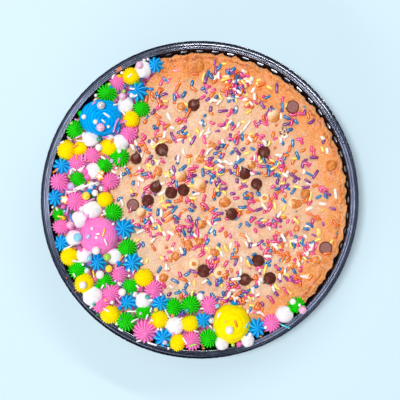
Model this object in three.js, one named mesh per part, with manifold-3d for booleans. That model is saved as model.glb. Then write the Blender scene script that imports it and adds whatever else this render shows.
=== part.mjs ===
// A round cookie cake in the dark fluted tin that it was baked in.
// Chocolate and tan chips sit in its top, sprinkles are pressed into it, and a crescent of piped
// frosting with three large rosettes lies along one side.
// Millimetres, +Z up. The origin is on the tin's axis, at the underside of its base.

import * as THREE from 'three';
import Module from 'manifold-3d';

const wasm = await Module();
wasm.setup();

// ---------------------------------------------------------------- driving dimensions

const GAP = 0.3; // between pieces that touch
const GROWTH = 0.45; // added to the radius of a polygon so that its flat sides clear by the gap
const TALLEST = 30; // more than the height of any topping

const RIM_RADIUS = 122; // outer edge of the tin's flange
const RIM_TOP = 32; // top of the rolled bead
const MOUTH_RADIUS = 115; // inside of the bead
const WALL_SLOPE = 0.38; // how much the wall widens for each millimetre of height
const SHEET = 1.1; // wall and floor of the tin
const FLUTES = 60;
const FLUTE_DEPTH = 1.6;
const FLUTE_FOOT = 5;
const FLUTE_HEAD = 28;
const WALL_HEAD = 29.4; // where the wall meets the bead
const FLANGE_RADIUS = 120.6; // where the flange leaves the bead
const FLANGE_UNDERSIDE = 28.8;
const FLANGE_EDGE = 29.2; // height of the flange's outer edge
const FLANGE_TOP = 30.1;
const BEAD_ROUNDING = 1.2;
const THROAT_HEIGHT = 30.8; // where the bead turns down into the mouth
const THROAT_RADIUS = 114.7;
const FLOOR_RADIUS = 99.5;
const CORNER_HEIGHT = 2.4; // top of the rounded corner between floor and wall

const COOKIE_LEVEL = 28; // top of the cookie, level under the frosting
const COOKIE_SHOULDER = 25.8; // where its side starts to round over
const COOKIE_FOOT_RADIUS = 98.9;
const COOKIE_EDGE = 110.4; // where the top meets the side
const COOKIE_CRIMP = 1; // depth of the flutes at that edge
const COOKIE_RINGS = [104, 90, 72, 53, 34, 15]; // radii of the rings of the top
const LUMP = 0.9; // gentle unevenness of the top
const LUMP_WAVES = [[0.071, 0.083, 0.9], [0.071, -0.083, 1.7], [0.15, -0.11, 2.1]];
const LIP = 0.8; // raised and browned edge
const LIP_INNER = 90;
const LIP_OUTER = 101;
const LIP_FROM = -38; // degrees, where the raised edge starts and ends
const LIP_TO = 104;
const LIP_RISE = 14; // degrees over which it comes up, and goes down again
const LIP_FALL = 8;
const MIDDLE_INNER = 38; // the lumps of the middle fade out between these two radii
const MIDDLE_OUTER = 58;
const EDGE_DROP = 1.6; // the top rounds down toward the wall between two radii
const EDGE_INNER = 105;
const EDGE_OUTER = 113;

const FLUTED = 2 * FLUTES; // points round the fluted rings
const SMOOTH = 48; // points round the smooth rings
const DEGREE = Math.PI / 180;

// ---------------------------------------------------------------- layout of the toppings
// Centre x, y and radius of each topping, seen from above.

const GREEN_STARS = [
  [-71, 81.5, 7.8], [-45.2, 70, 6.4], [-95.8, 53.5, 7.3], [-73.6, 26.4, 6.4], [-61, 32.8, 7],
  [-66.5, 34, 4.5], [-93.4, 15.6, 6.5], [-108.4, -11, 5.2], [-66.6, -9.8, 7.2], [-56, -36.8, 7.2],
  [-93.8, -53.8, 7.4], [-73, -62.5, 6.4], [-53.2, -66.4, 6.7], [-43, -86, 6.6], [-56.4, -93.4, 7.8],
  [-19.8, -82.8, 6.8], [-7, -81, 7.3], [6.8, -106.4, 7.4], [74.6, -81, 6.4], [-49, 90.5, 3.5],
];
const PINK_STARS = [
  [-63.4, 90, 6.4], [-54.8, 50.6, 6.6], [-82.4, 34.2, 6.6], [-94, 28.5, 7.2], [-107.8, 13.6, 7.2],
  [-68.8, 14.2, 6.8], [-95.6, -0.8, 7.8], [-106.4, -20.6, 6.4], [-61.6, -57.4, 6.5], [-67.8, -71.8, 7.2],
  [-76, -80.8, 7.2], [-35.6, -69.4, 7.4], [-42.2, -100.8, 8.9], [7.4, -81.2, 6.8], [-5.4, -108.2, 7.2],
  [55, -94.8, 7],
];
const BLUE_STARS = [
  [-34.3, 103.7, 6.3], [-47.6, 83, 7.6], [-105.6, 26, 7], [-111, 1.5, 6.5], [-106.2, -33.4, 6.5],
  [-57.6, -22, 7.8], [-78.4, -48.4, 7.2], [-51.8, -48.4, 7.6], [-55.4, -78.6, 6.9], [-30.4, -79.6, 7.2],
  [-27.8, -105.6, 7.8], [2.4, -92.4, 6.6], [43.8, -98.4, 7.2],
];
const YELLOW_STARS = [
  [-52.8, 95, 6.7], [-52.6, 61.9, 6.4], [-70.2, 40.4, 6.6], [-102.4, 38, 7.2], [-92, 39.4, 5.6],
  [-73, 0.2, 6.1], [-100.2, -43.4, 7], [-88.8, -64.2, 7.5], [-43, -59.8, 7], [-68.8, -88.2, 7.4],
  [-31, -92, 6.8], [-7.4, -95, 6.6], [-17.2, -109.6, 6.4],
];
const WHITE_KISSES = [
  [-43.6, 100, 6.2], [-57, 73, 6], [-83.6, 47, 6.2], [-61.2, 44, 6], [-81.6, 22, 6.1],
  [-82.4, -7.8, 6.8], [-92.4, -15.2, 6.3], [-96.4, -29.4, 5.9], [-89, -42.8, 5.7], [-66, -43.4, 5.9],
  [-82.4, -74, 7.3], [-43.4, -77.6, 6], [-19, -96.8, 6.5], [17, -110, 5.4], [36.8, -108, 5.2],
  [65.1, -88.1, 6.4],
];
const LARGE_PEARLS = [
  [-59, 79, 2.8], [-98.6, 10.4, 3], [-87, 3, 3.3], [-103.8, 0.6, 2.8], [-92.8, -28.6, 3.5],
  [-70.6, -43.6, 3], [-69.6, -52.8, 2.9], [-76.3, -57.3, 3.4], [-88.8, -64.8, 2.9],
  [-59.2, -70.6, 3.1],
];

// x, y, radius along X, radius along Y, height of each piped swirl
const ROSETTES = {
  rosette_blue: { place: [-75.8, 62.8], radii: [16.4, 14.6], height: 12.5, colour: 0x0aa2ec },
  rosette_pink: { place: [-77.3, -28], radii: [14.8, 14.6], height: 13, colour: 0xff6fbd },
  rosette_yellow: { place: [24.2, -95.2], radii: [14.5, 15.3], height: 12, colour: 0xffe100 },
};

// Chips: x, y, radius, and for a chip that leans the direction of its tip in degrees
const STANDING_CHOC_CHIPS = [
  [-22, 5.6, 4.9], [-12.4, 7.5, 4.8], [-40, -0.8, 4.8], [3.3, -54.9, 5.1], [45, -47.2, 5],
];
const LEANING_CHOC_CHIPS = [
  [-49, 31.6, 4.3, 88], [-29.3, 38.6, 5, -55], [-33.9, 9.7, 4.6, 70], [25, -11, 4.7, 152],
  [34.7, 20, 4.6, 115], [43.8, 12.3, 4.4, -82], [49.3, 36.8, 4.8, -60], [34.6, -61.4, 4.8, 3],
  [54, -60.6, 4.8, 215], [-4.6, 72.8, 4.6, 50],
];
const FLAT_CHOC_CHIPS = [
  [-51.4, -4, 4.7], [71.4, 71.4, 5], [96.9, -37.2, 5], [65, 52.5, 3.8],
];
const STANDING_TAN_CHIPS = [
  [-0.8, 102.4, 4.6], [56.8, 64.8, 5.3], [-14.9, 18.4, 4.9], [0.1, 11.1, 5], [49.7, 1.4, 4.3],
  [-4.4, -49.4, 4.6], [15, -56.3, 4.8], [-45.3, -9.4, 3.8], [81.6, 4.4, 3.9], [101.3, 26.4, 4.2],
];
// Half-buried ones, lying on their side: x, y, long radius, short radius, turn in degrees
const LYING_TAN_CHIPS = [
  [-14.2, 72, 4.6, 4, 50], [9.5, 42.2, 4.6, 3.4, 0], [0.2, 31.7, 5, 3.5, -20], [-32, 22, 5.4, 3.2, 88],
  [39.8, 27, 4.6, 3.3, -75], [18.8, -1.4, 5.8, 4.4, 8], [73.5, -2.5, 5.4, 4.4, 0],
  [1.5, -18.4, 4.6, 3.7, 25], [-9, -33.4, 5, 3.1, -60], [-0.4, -32.2, 4.2, 2.9, 55],
  [11, -40.5, 4.9, 3.6, 0], [-18.6, -43.4, 5, 3.3, 55], [-28, -60.2, 4.9, 3.5, 50],
  [89.4, -46.4, 4.6, 3.8, 20], [71.3, -50.3, 3.9, 3.2, 30],
];

// Inner edge of the frosting's base, as direction in degrees and distance from the middle
const CRESCENT_EDGE = [
  [108, 104], [119, 93], [127, 82], [137, 74], [151, 68.5], [160, 74], [168, 68], [180, 70],
  [190, 66], [202, 60], [214, 64], [226, 68], [240, 75], [256, 82], [270, 80], [280, 80],
];
const TAIL_EDGE = [[290.5, 104], [295, 103], [302, 106], [311, 106]];
const TAIL_INNER = 96; // nearest to the middle that the tail's dollops come
const TAIL_SPREAD = 4; // degrees that they reach past the end of its base
const CRESCENT_OUTER = 109.5;
const BASE_HEIGHT = 3.4; // of the frosting between the dollops

// Sprinkles pressed into the cookie
const SPRINKLES_SCATTERED = 710;
const SPRINKLES_FUSED = 28;
const SPRINKLE_SEED = 20;
const SPRINKLE_FIELD = 107; // radius of the circle that they are scattered over
const SPRINKLE_SHORTEST = 4.2;
const SPRINKLE_STRETCH = 4.6; // what the longest ones have more
const SPRINKLE_SKEW = 1.3; // more than 1 makes short ones more common
const SPRINKLE_WIDTH = 2.3;
const SPRINKLE_SIDES = 5;
const SPRINKLE_TAPER = 0.6; // length of its pointed end
const SPRINKLE_SINK = 0.35; // its middle lies this far above the dough
const SPRINKLE_SPACING = 13; // between two of the fused ones
const SPRINKLE_MARGIN = 1; // from its end to a topping
const EDGE_BARE_FROM = 97; // few of them lie outside this radius
const EDGE_DENSITY = 0.3;
const EMPTY_FROM = 92; // degrees, past which the edge has nearly none
const EMPTY_DENSITY = 0.03;
const DENSEST = 3.6;
// Where they crowd: x, y, spread and how much denser
const CROWDS = [
  [22, 93, 9, 1.6], [33, 84, 9, 1.8], [-42, 50, 8, 1.6], [12, 26, 8, 1.2], [57, 22, 7, 1.4],
  [60, -13, 6, 1], [74, -48, 10, 2], [85, -34, 6, 2.4], [-38, -22, 6, 1], [-37, -8, 6, 1],
  [15, -66, 6, 1], [31, -76, 9, 2], [66, 8, 6, 1], [76, 27, 6, 1],
];

// ---------------------------------------------------------------- small tools

function seededRandom(seed) {
  let state = seed >>> 0;
  return () => {
    state = (state + 0x6d2b79f5) >>> 0;
    let mixed = Math.imul(state ^ (state >>> 15), state | 1);
    mixed ^= mixed + Math.imul(mixed ^ (mixed >>> 7), mixed | 61);
    return ((mixed ^ (mixed >>> 14)) >>> 0) / 4294967296;
  };
}

function smoothstep(from, to, value) {
  const share = Math.min(Math.max((value - from) / (to - from), 0), 1);
  return share * share * (3 - 2 * share);
}

// Value at a place on a line given by pairs [place, value]
function along(pairs, place) {
  let k = 1;
  while (k < pairs.length - 1 && pairs[k][0] < place) k += 1;
  const [fromPlace, fromValue] = pairs[k - 1];
  const [toPlace, toValue] = pairs[k];
  const share = Math.min(Math.max((place - fromPlace) / (toPlace - fromPlace), 0), 1);
  return fromValue + (toValue - fromValue) * share;
}

// Joins two closed rings of vertex numbers with a band of triangles that faces outward when
// the rings run anticlockwise and the second comes after the first along the profile.
// A ring of one number is a point.
function stitch(triangles, first, second) {
  let i = 0;
  let j = 0;
  const firstSteps = first.length > 1 ? first.length : 0;
  const secondSteps = second.length > 1 ? second.length : 0;
  while (i < firstSteps || j < secondSteps) {
    const a = first[i % first.length];
    const b = second[j % second.length];
    const stepFirst = j >= secondSteps
      || (i < firstSteps && (i + 0.5) / firstSteps <= (j + 0.5) / secondSteps);
    if (stepFirst) {
      i += 1;
      triangles.push(a, first[i % first.length], b);
    } else {
      j += 1;
      triangles.push(a, second[j % second.length], b);
    }
  }
}

// One closed body from rings of points, from its lowest point to its last one
function closedSkin(rings) {
  const positions = [];
  const triangles = [];
  const numbered = rings.map((ring) => ring.map((point) => {
    positions.push(...point);
    return positions.length / 3 - 1;
  }));
  for (let k = 1; k < numbered.length; k += 1) stitch(triangles, numbered[k - 1], numbered[k]);
  return { positions, triangles };
}

function solidOf({ positions, triangles }) {
  return new wasm.Manifold(new wasm.Mesh({
    numProp: 3,
    vertProperties: new Float32Array(positions),
    triVerts: new Uint32Array(triangles),
  }));
}

function geometryOf({ positions, triangles }) {
  const geometry = new THREE.BufferGeometry();
  geometry.setAttribute('position', new THREE.BufferAttribute(new Float32Array(positions), 3));
  geometry.setIndex(Array.from(triangles));
  geometry.computeVertexNormals();
  return geometry;
}

function geometryOfSolid(solid) {
  const { vertProperties, triVerts } = solid.getMesh();
  return geometryOf({ positions: vertProperties, triangles: triVerts });
}

// A level ring round the main axis; the radius may follow the flutes
function ring(points, radius, height, flute = 0) {
  const made = [];
  for (let k = 0; k < points; k += 1) {
    const angle = (2 * Math.PI * k) / points;
    const distance = radius - flute * 0.5 * (1 + Math.cos(FLUTES * angle));
    made.push([distance * Math.cos(angle), distance * Math.sin(angle), height]);
  }
  return made;
}

// A closed mound or drop on its own upright axis.
// profile is pairs of share of the radius and height, from the bottom point to the top point,
// and a third number that says how far a ring moves toward the leaning tip.
function mound({ place, radii, turn = 0, sides, profile, base, ribDepth = 0, tip = [0, 0] }) {
  const rings = profile.map(([share, height, lean = 0]) => {
    const middle = [place[0] + tip[0] * lean, place[1] + tip[1] * lean];
    if (share === 0) return [[...middle, base + height]];
    const made = [];
    for (let k = 0; k < sides; k += 1) {
      const angle = (2 * Math.PI * k) / sides;
      const rib = k % 2 ? 1 - ribDepth : 1;
      const u = radii[0] * share * rib * Math.cos(angle);
      const v = radii[1] * share * rib * Math.sin(angle);
      made.push([
        middle[0] + u * Math.cos(turn) - v * Math.sin(turn),
        middle[1] + u * Math.sin(turn) + v * Math.cos(turn),
        base + height,
      ]);
    }
    return made;
  });
  return closedSkin(rings);
}

// ---------------------------------------------------------------- the tin

function wallRadius(height) {
  return MOUTH_RADIUS - WALL_SLOPE * (WALL_HEAD + 2 - height);
}

function tin() {
  const outside = wallRadius(0) + SHEET;
  return closedSkin([
    [[0, 0, 0]],
    ring(SMOOTH, FLOOR_RADIUS, 0),
    ring(SMOOTH, outside + WALL_SLOPE * CORNER_HEIGHT, CORNER_HEIGHT),
    ring(FLUTED, outside + WALL_SLOPE * FLUTE_FOOT, FLUTE_FOOT, FLUTE_DEPTH),
    ring(FLUTED, outside + WALL_SLOPE * FLUTE_HEAD, FLUTE_HEAD, FLUTE_DEPTH),
    ring(SMOOTH, outside + WALL_SLOPE * WALL_HEAD, FLANGE_UNDERSIDE),
    ring(SMOOTH, RIM_RADIUS, FLANGE_EDGE),
    ring(SMOOTH, FLANGE_RADIUS, FLANGE_TOP),
    ring(SMOOTH, FLANGE_RADIUS - BEAD_ROUNDING, RIM_TOP),
    ring(SMOOTH, MOUTH_RADIUS + BEAD_ROUNDING, RIM_TOP),
    ring(SMOOTH, THROAT_RADIUS, THROAT_HEIGHT),
    ring(FLUTED, wallRadius(FLUTE_HEAD), FLUTE_HEAD, FLUTE_DEPTH),
    ring(FLUTED, wallRadius(FLUTE_FOOT), FLUTE_FOOT, FLUTE_DEPTH),
    ring(SMOOTH, FLOOR_RADIUS, SHEET),
    [[0, 0, SHEET]],
  ]);
}

// What the frosting must stay clear of: the wall and the bead, grown by the gap
function tinClearance() {
  const outer = RIM_RADIUS + TALLEST;
  const inner = wallRadius(FLUTE_HEAD) - FLUTE_DEPTH - GAP;
  const top = RIM_TOP + GAP;
  const slope = (MOUTH_RADIUS - inner) / (top - FLUTE_HEAD);
  const profile = [
    [inner - slope, FLUTE_HEAD - 1],
    [outer, FLUTE_HEAD - 1],
    [outer, top],
    [MOUTH_RADIUS, top],
  ];
  const rings = profile.map(([radius, height]) => ring(SMOOTH, radius, height));
  const triangles = [];
  const rows = rings.map((row, level) => row.map((_, k) => level * SMOOTH + k));
  rows.forEach((row, k) => stitch(triangles, row, rows[(k + 1) % rows.length]));
  return solidOf({ positions: rings.flat(2), triangles });
}

// ---------------------------------------------------------------- the cookie

// Height of the cookie's top: gentle lumps, a raised edge, and level under the frosting
function cookieTop(x, y) {
  const distance = Math.hypot(x, y);
  const direction = Math.atan2(y, x) / DEGREE;
  const bare = smoothstep(LIP_FROM - LIP_RISE, LIP_FROM, direction)
    * (1 - smoothstep(LIP_TO - LIP_FALL, LIP_TO, direction));
  const middle = 1 - smoothstep(MIDDLE_INNER, MIDDLE_OUTER, distance);
  let lumps = 0;
  for (const [alongX, alongY, phase] of LUMP_WAVES) {
    lumps += (1 + Math.sin(alongX * x + alongY * y + phase)) / (2 * LUMP_WAVES.length);
  }
  const lip = LIP * smoothstep(LIP_INNER, LIP_OUTER, distance) * bare;
  const edge = EDGE_DROP * smoothstep(EDGE_INNER, EDGE_OUTER, distance) ** 2;
  return COOKIE_LEVEL + LUMP * lumps * Math.max(bare, middle) + lip - edge;
}

function topRing(points, radius, flute = 0) {
  return ring(points, radius, 0, flute).map(([x, y]) => [x, y, cookieTop(x, y)]);
}

function cookieBody() {
  const inWall = (height) => ring(FLUTED, wallRadius(height) - GROWTH, height, FLUTE_DEPTH);
  return solidOf(closedSkin([
    [[0, 0, SHEET + GAP]],
    ring(SMOOTH, COOKIE_FOOT_RADIUS, SHEET + GAP),
    inWall(FLUTE_FOOT + GAP),
    inWall(COOKIE_SHOULDER),
    topRing(FLUTED, COOKIE_EDGE, COOKIE_CRIMP),
    ...COOKIE_RINGS.map((radius) => topRing(4 * Math.round(radius / 8), radius)),
    [[0, 0, cookieTop(0, 0)]],
  ]));
}

// ---------------------------------------------------------------- chips

const CHIP_SIDES = 6;
const CHIP_FOOT = -2; // how deep a chip is sunk
const TIP_REACH = 1.42; // of a leaning chip's tip, in radii
const DROP = [[0, CHIP_FOOT], [0.8, CHIP_FOOT], [1, 0.2], [0.66, 2.9], [0, 4.9]];
const LEANING = [[0, CHIP_FOOT], [0.8, CHIP_FOOT], [1, 0.4], [0.72, 3.1, 0.12], [0, 3.2, 1]];
const DISC = [[0, CHIP_FOOT], [0.84, CHIP_FOOT], [1, 0.4], [0.88, 1.5], [0, 1.6]];
const BURIED = [[0, CHIP_FOOT], [0.8, CHIP_FOOT], [1, 0.1], [0.7, 1.7], [0, 2.2]];

const POCKET_FOOT = 0.82; // radius of the pocket's foot and mouth, as shares of the chip's own
const POCKET_MOUTH = 1.06;

const CHOCOLATE = 0x4a2418;
const TAN = 0xd9924e;

function chipList() {
  const chips = [];
  const add = (kind, colour, place, radii, turn, profile, tip = [0, 0]) => {
    chips.push({ kind, colour, place, radii, turn, profile, tip });
  };
  for (const [x, y, r] of STANDING_CHOC_CHIPS) add('choc_chip', CHOCOLATE, [x, y], [r, r], 0.2, DROP);
  for (const [x, y, r, towards] of LEANING_CHOC_CHIPS) {
    const turn = towards * DEGREE;
    const reach = TIP_REACH * r;
    const tip = [reach * Math.cos(turn), reach * Math.sin(turn)];
    add('choc_chip', CHOCOLATE, [x, y], [r, r], turn, LEANING, tip);
  }
  for (const [x, y, r] of FLAT_CHOC_CHIPS) add('choc_chip', CHOCOLATE, [x, y], [r, r], 0.4, DISC);
  for (const [x, y, r] of STANDING_TAN_CHIPS) add('tan_chip', TAN, [x, y], [r, r], 0.1, DROP);
  for (const [x, y, long, short, towards] of LYING_TAN_CHIPS) {
    add('tan_chip', TAN, [x, y], [long, short], towards * DEGREE, BURIED);
  }
  return chips;
}

// The pocket of a chip, as its own foot grown by the gap and open upward
function pocket(chip) {
  const floor = CHIP_FOOT - GAP;
  return solidOf(mound({
    place: chip.place,
    radii: chip.radii.map((radius) => radius + GROWTH),
    turn: chip.turn,
    sides: CHIP_SIDES,
    profile: [[0, floor], [POCKET_FOOT, floor], [POCKET_MOUTH, 1], [0, 1]],
    base: cookieTop(...chip.place),
  }));
}

// A prism round a chip, as high as the frosting
function chipClearance({ place, radii, turn }) {
  return solidOf(mound({
    place,
    radii: radii.map((radius) => radius + GROWTH),
    turn,
    sides: CHIP_SIDES,
    profile: [[0, -1], [1, -1], [1, TALLEST], [0, TALLEST]],
    base: COOKIE_LEVEL,
  }));
}

// ---------------------------------------------------------------- sprinkles

const FROSTING_MARGIN = 2;
const LEAN_SHIFT = 0.3; // a leaning chip is wider toward its tip
const LEAN_MARGIN = 2;

function frostingEdge(direction) {
  const within = (edge, more) => direction > edge[0][0] && direction <= edge.at(-1)[0] + more;
  if (within(CRESCENT_EDGE, 0)) return along(CRESCENT_EDGE, direction);
  return within(TAIL_EDGE, TAIL_SPREAD) ? TAIL_INNER : RIM_RADIUS;
}

function clearOfToppings(x, y, margin) {
  const direction = (Math.atan2(y, x) / DEGREE + 360) % 360;
  const distance = Math.hypot(x, y);
  if (distance > frostingEdge(direction) - margin - FROSTING_MARGIN) return false;
  const blocked = ([cx, cy, r]) => Math.hypot(x - cx, y - cy) < r + margin;
  const yellow = ROSETTES.rosette_yellow;
  if (blocked([...yellow.place, yellow.radii[1]])) return false;
  const stars = [GREEN_STARS, PINK_STARS, BLUE_STARS, YELLOW_STARS, WHITE_KISSES];
  if (stars.flat().some(blocked)) return false;
  return !chipList().some(({ place, radii, tip }) => {
    const leaning = tip[0] !== 0 || tip[1] !== 0;
    const middle = place.map((value, axis) => value + LEAN_SHIFT * tip[axis]);
    return blocked([...middle, radii[0] + (leaning ? LEAN_MARGIN : 0)]);
  });
}

function crowding(x, y) {
  const distance = Math.hypot(x, y);
  const direction = Math.atan2(y, x) / DEGREE;
  let density = 1;
  if (distance > EDGE_BARE_FROM) density = direction > EMPTY_FROM ? EMPTY_DENSITY : EDGE_DENSITY;
  for (const [cx, cy, spread, strength] of CROWDS) {
    density += strength * Math.exp(-((x - cx) ** 2 + (y - cy) ** 2) / (2 * spread ** 2));
  }
  return density;
}

// Every sprinkle on the cookie, in a fixed random order; the longest are fused to it
function sprinkleList() {
  const random = seededRandom(SPRINKLE_SEED);
  const placed = [];
  while (placed.length < SPRINKLES_SCATTERED) {
    const distance = SPRINKLE_FIELD * Math.sqrt(random());
    const direction = 2 * Math.PI * random();
    const length = SPRINKLE_SHORTEST + SPRINKLE_STRETCH * random() ** SPRINKLE_SKEW;
    const turn = Math.PI * random();
    const threshold = DENSEST * random();
    const x = distance * Math.cos(direction);
    const y = distance * Math.sin(direction);
    if (threshold < crowding(x, y)) placed.push({ x, y, length, turn });
  }
  return placed;
}

function fusedSprinkles() {
  const chosen = [];
  const longestFirst = sprinkleList().sort((a, b) => b.length - a.length);
  for (const one of longestFirst) {
    if (chosen.length === SPRINKLES_FUSED) break;
    const { x, y, length } = one;
    const near = chosen.some((other) => Math.hypot(x - other.x, y - other.y) < SPRINKLE_SPACING);
    if (!near && clearOfToppings(x, y, length / 2 + SPRINKLE_MARGIN)) chosen.push(one);
  }
  return chosen;
}

// A rod with five sides and pointed ends, lying level
function rod({ x, y, length, turn }, height) {
  const half = length / 2;
  const radius = SPRINKLE_WIDTH / 2;
  const neck = half - SPRINKLE_TAPER;
  const stations = [[-half, 0], [-neck, radius], [neck, radius], [half, 0]];
  return solidOf(closedSkin(stations.map(([reach, thickness]) => {
    const points = [];
    for (let k = 0; k < (thickness ? SPRINKLE_SIDES : 1); k += 1) {
      const angle = Math.PI / 2 + (2 * Math.PI * k) / SPRINKLE_SIDES;
      const across = thickness * Math.cos(angle);
      points.push([
        x + reach * Math.cos(turn) - across * Math.sin(turn),
        y + reach * Math.sin(turn) + across * Math.cos(turn),
        height + thickness * Math.sin(angle),
      ]);
    }
    return points;
  })));
}

// ---------------------------------------------------------------- frosting

const FROSTING_FOOT = COOKIE_LEVEL + GAP;
const SEAM = 0.3; // the dollops start this much above the foot of their common base
const STAR = [[0, 0], [1, 0], [0.8, 0.62], [0, 1]];
const KISS = [[0, 0], [1, 0], [0.86, 0.6], [0, 1]];
const PEARL = [[0, -1], [0.87, -0.5], [0.87, 0.5], [0, 1]];
const PEARL_SIDES = 6;
const PEARL_SEAT = 0.35; // its middle lies this share of its radius above the frosting
const DOLLOP_TURN = 0.7; // radians from one dollop to the next in its list
const DOLLOPS = [
  { list: GREEN_STARS, sides: 10, rib: 0.18, rise: 1.35, profile: STAR },
  { list: PINK_STARS, sides: 10, rib: 0.16, rise: 1.32, profile: STAR },
  { list: BLUE_STARS, sides: 10, rib: 0.24, rise: 1.25, profile: STAR },
  { list: YELLOW_STARS, sides: 8, rib: 0, rise: 1.2, profile: KISS },
  { list: WHITE_KISSES, sides: 8, rib: 0, rise: 1.3, profile: KISS },
];

function scaled(profile, height) {
  return profile.map(([share, level]) => [share, level * height]);
}

function dollopSolids() {
  const solids = [];
  for (const { list, sides, rib, rise, profile } of DOLLOPS) {
    list.forEach(([x, y, r], k) => {
      solids.push({
        direction: (Math.atan2(y, x) / DEGREE + 360) % 360,
        solid: solidOf(mound({
          place: [x, y],
          radii: [r, r],
          turn: DOLLOP_TURN * k,
          sides,
          profile: scaled(profile, rise * r),
          base: FROSTING_FOOT + SEAM,
          ribDepth: rib,
        })),
      });
    });
  }
  return solids;
}

// Height of the highest dollop at a place, for what rests on it
function frostingTop(x, y) {
  let highest = FROSTING_FOOT + BASE_HEIGHT;
  for (const { list, rise, profile } of DOLLOPS) {
    const outline = profile.slice(2).reverse();
    for (const [cx, cy, r] of list) {
      const share = Math.hypot(x - cx, y - cy) / r;
      if (share < 1) highest = Math.max(highest, FROSTING_FOOT + rise * r * along(outline, share));
    }
  }
  return highest;
}

function pearl([x, y, r]) {
  return solidOf(mound({
    place: [x, y],
    radii: [r, r],
    sides: PEARL_SIDES,
    profile: scaled(PEARL, r),
    base: frostingTop(x, y) + PEARL_SEAT * r,
  }));
}

// The level base that the dollops stand on, between an inner edge and an outer circle
function frostingBase(edge, steps) {
  const from = edge[0][0];
  const to = edge.at(-1)[0];
  const outline = [];
  for (let k = 0; k <= steps; k += 1) {
    const direction = from + ((to - from) * k) / steps;
    outline.push([direction * DEGREE, CRESCENT_OUTER]);
  }
  for (let k = steps; k >= 0; k -= 1) {
    const direction = from + ((to - from) * k) / steps;
    outline.push([direction * DEGREE, along(edge, direction)]);
  }
  const flat = outline.map(([angle, distance]) => (
    new THREE.Vector2(distance * Math.cos(angle), distance * Math.sin(angle))));
  const faces = THREE.ShapeUtils.triangulateShape(flat, []);
  const positions = [];
  for (const height of [FROSTING_FOOT, FROSTING_FOOT + BASE_HEIGHT]) {
    for (const point of flat) positions.push(point.x, point.y, height);
  }
  const count = flat.length;
  const triangles = [];
  for (const [a, b, c] of faces) {
    triangles.push(a, c, b);
    triangles.push(a + count, b + count, c + count);
  }
  for (let k = 0; k < count; k += 1) {
    const next = (k + 1) % count;
    triangles.push(k, next, next + count);
    triangles.push(k, next + count, k + count);
  }
  return solidOf({ positions, triangles });
}

const SWIRL = [
  [0, 0], [0.98, 0], [1, 0.22], [0.88, 0.38], [0.8, 0.6], [0.66, 0.64], [0.56, 0.82],
  [0.4, 0.86], [0.26, 0.98], [0, 1],
];
const SWIRL_SIDES = 18;

function rosette({ place, radii, height }) {
  const whole = mound({
    place, radii, sides: SWIRL_SIDES, profile: scaled(SWIRL, height), base: FROSTING_FOOT,
  });
  return solidOf(whole).subtract(tinClearance());
}

function rosetteClearance({ place, radii }) {
  return solidOf(mound({
    place,
    radii: radii.map((radius) => radius + GROWTH),
    sides: SWIRL_SIDES,
    profile: [[0, -1], [1, -1], [1, TALLEST], [0, TALLEST]],
    base: COOKIE_LEVEL,
  }));
}

// The largest connected piece of a solid
function mainPiece(solid) {
  return solid.decompose().sort((a, b) => b.volume() - a.volume())[0];
}

function frosting(edge, steps, belongs, pearls) {
  let whole = frostingBase(edge, steps);
  for (const { direction, solid } of dollopSolids()) {
    if (belongs(direction)) whole = whole.add(solid);
  }
  for (const one of pearls) whole = whole.add(pearl(one));
  for (const one of Object.values(ROSETTES)) whole = whole.subtract(rosetteClearance(one));
  whole = whole.subtract(tinClearance());
  for (const chip of chipList()) whole = whole.subtract(chipClearance(chip));
  return mainPiece(whole);
}

// ---------------------------------------------------------------- the whole

const YELLOW_DIRECTION = 283; // degrees
const CRESCENT_STEPS = 26; // of the base's edges
const TAIL_STEPS = 4;

const cake = new THREE.Group();

function addPiece(name, geometry, colour, roughness, metalness = 0) {
  const material = new THREE.MeshStandardMaterial({ color: colour, roughness, metalness });
  const mesh = new THREE.Mesh(geometry, material);
  mesh.name = name;
  cake.add(mesh);
}

addPiece('tin', geometryOf(tin()), 0x3a4152, 0.3, 0.8);

let cookie = cookieBody();
for (const one of fusedSprinkles()) {
  cookie = cookie.add(rod(one, cookieTop(one.x, one.y) + SPRINKLE_SINK));
}
for (const chip of chipList()) cookie = cookie.subtract(pocket(chip));
addPiece('cookie', geometryOfSolid(mainPiece(cookie)), 0xe6b27c, 0.8);

const counts = {};
for (const chip of chipList()) {
  counts[chip.kind] = (counts[chip.kind] ?? 0) + 1;
  const name = `${chip.kind}_${String(counts[chip.kind]).padStart(2, '0')}`;
  const body = mound({ ...chip, sides: CHIP_SIDES, base: cookieTop(...chip.place) });
  addPiece(name, geometryOf(body), chip.colour, 0.4);
}

// The yellow rosette reaches the wall, so the dollops past its middle are a heap of their own
const inCrescent = (direction) => direction < YELLOW_DIRECTION;
const inTail = (direction) => direction > YELLOW_DIRECTION;
const crescent = frosting(CRESCENT_EDGE, CRESCENT_STEPS, inCrescent, LARGE_PEARLS);
const tail = frosting(TAIL_EDGE, TAIL_STEPS, inTail, []);
addPiece('frosting_crescent', geometryOfSolid(crescent), 0xf4a6cf, 0.5);
addPiece('frosting_tail', geometryOfSolid(tail), 0x4ab4e8, 0.5);

for (const [name, swirl] of Object.entries(ROSETTES)) {
  addPiece(name, geometryOfSolid(rosette(swirl)), swirl.colour, 0.5);
}

export default cake;
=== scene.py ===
"""A round cookie cake in its dark fluted tin: the looks of every piece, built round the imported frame.

Sizes and places are in millimetres and are turned into metres when a piece is made.
Places are seen from above, with +X to the right, +Y away and +Z up.
"""

import math

import bpy
import numpy as np
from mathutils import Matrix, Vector
from mathutils.bvhtree import BVHTree


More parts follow.
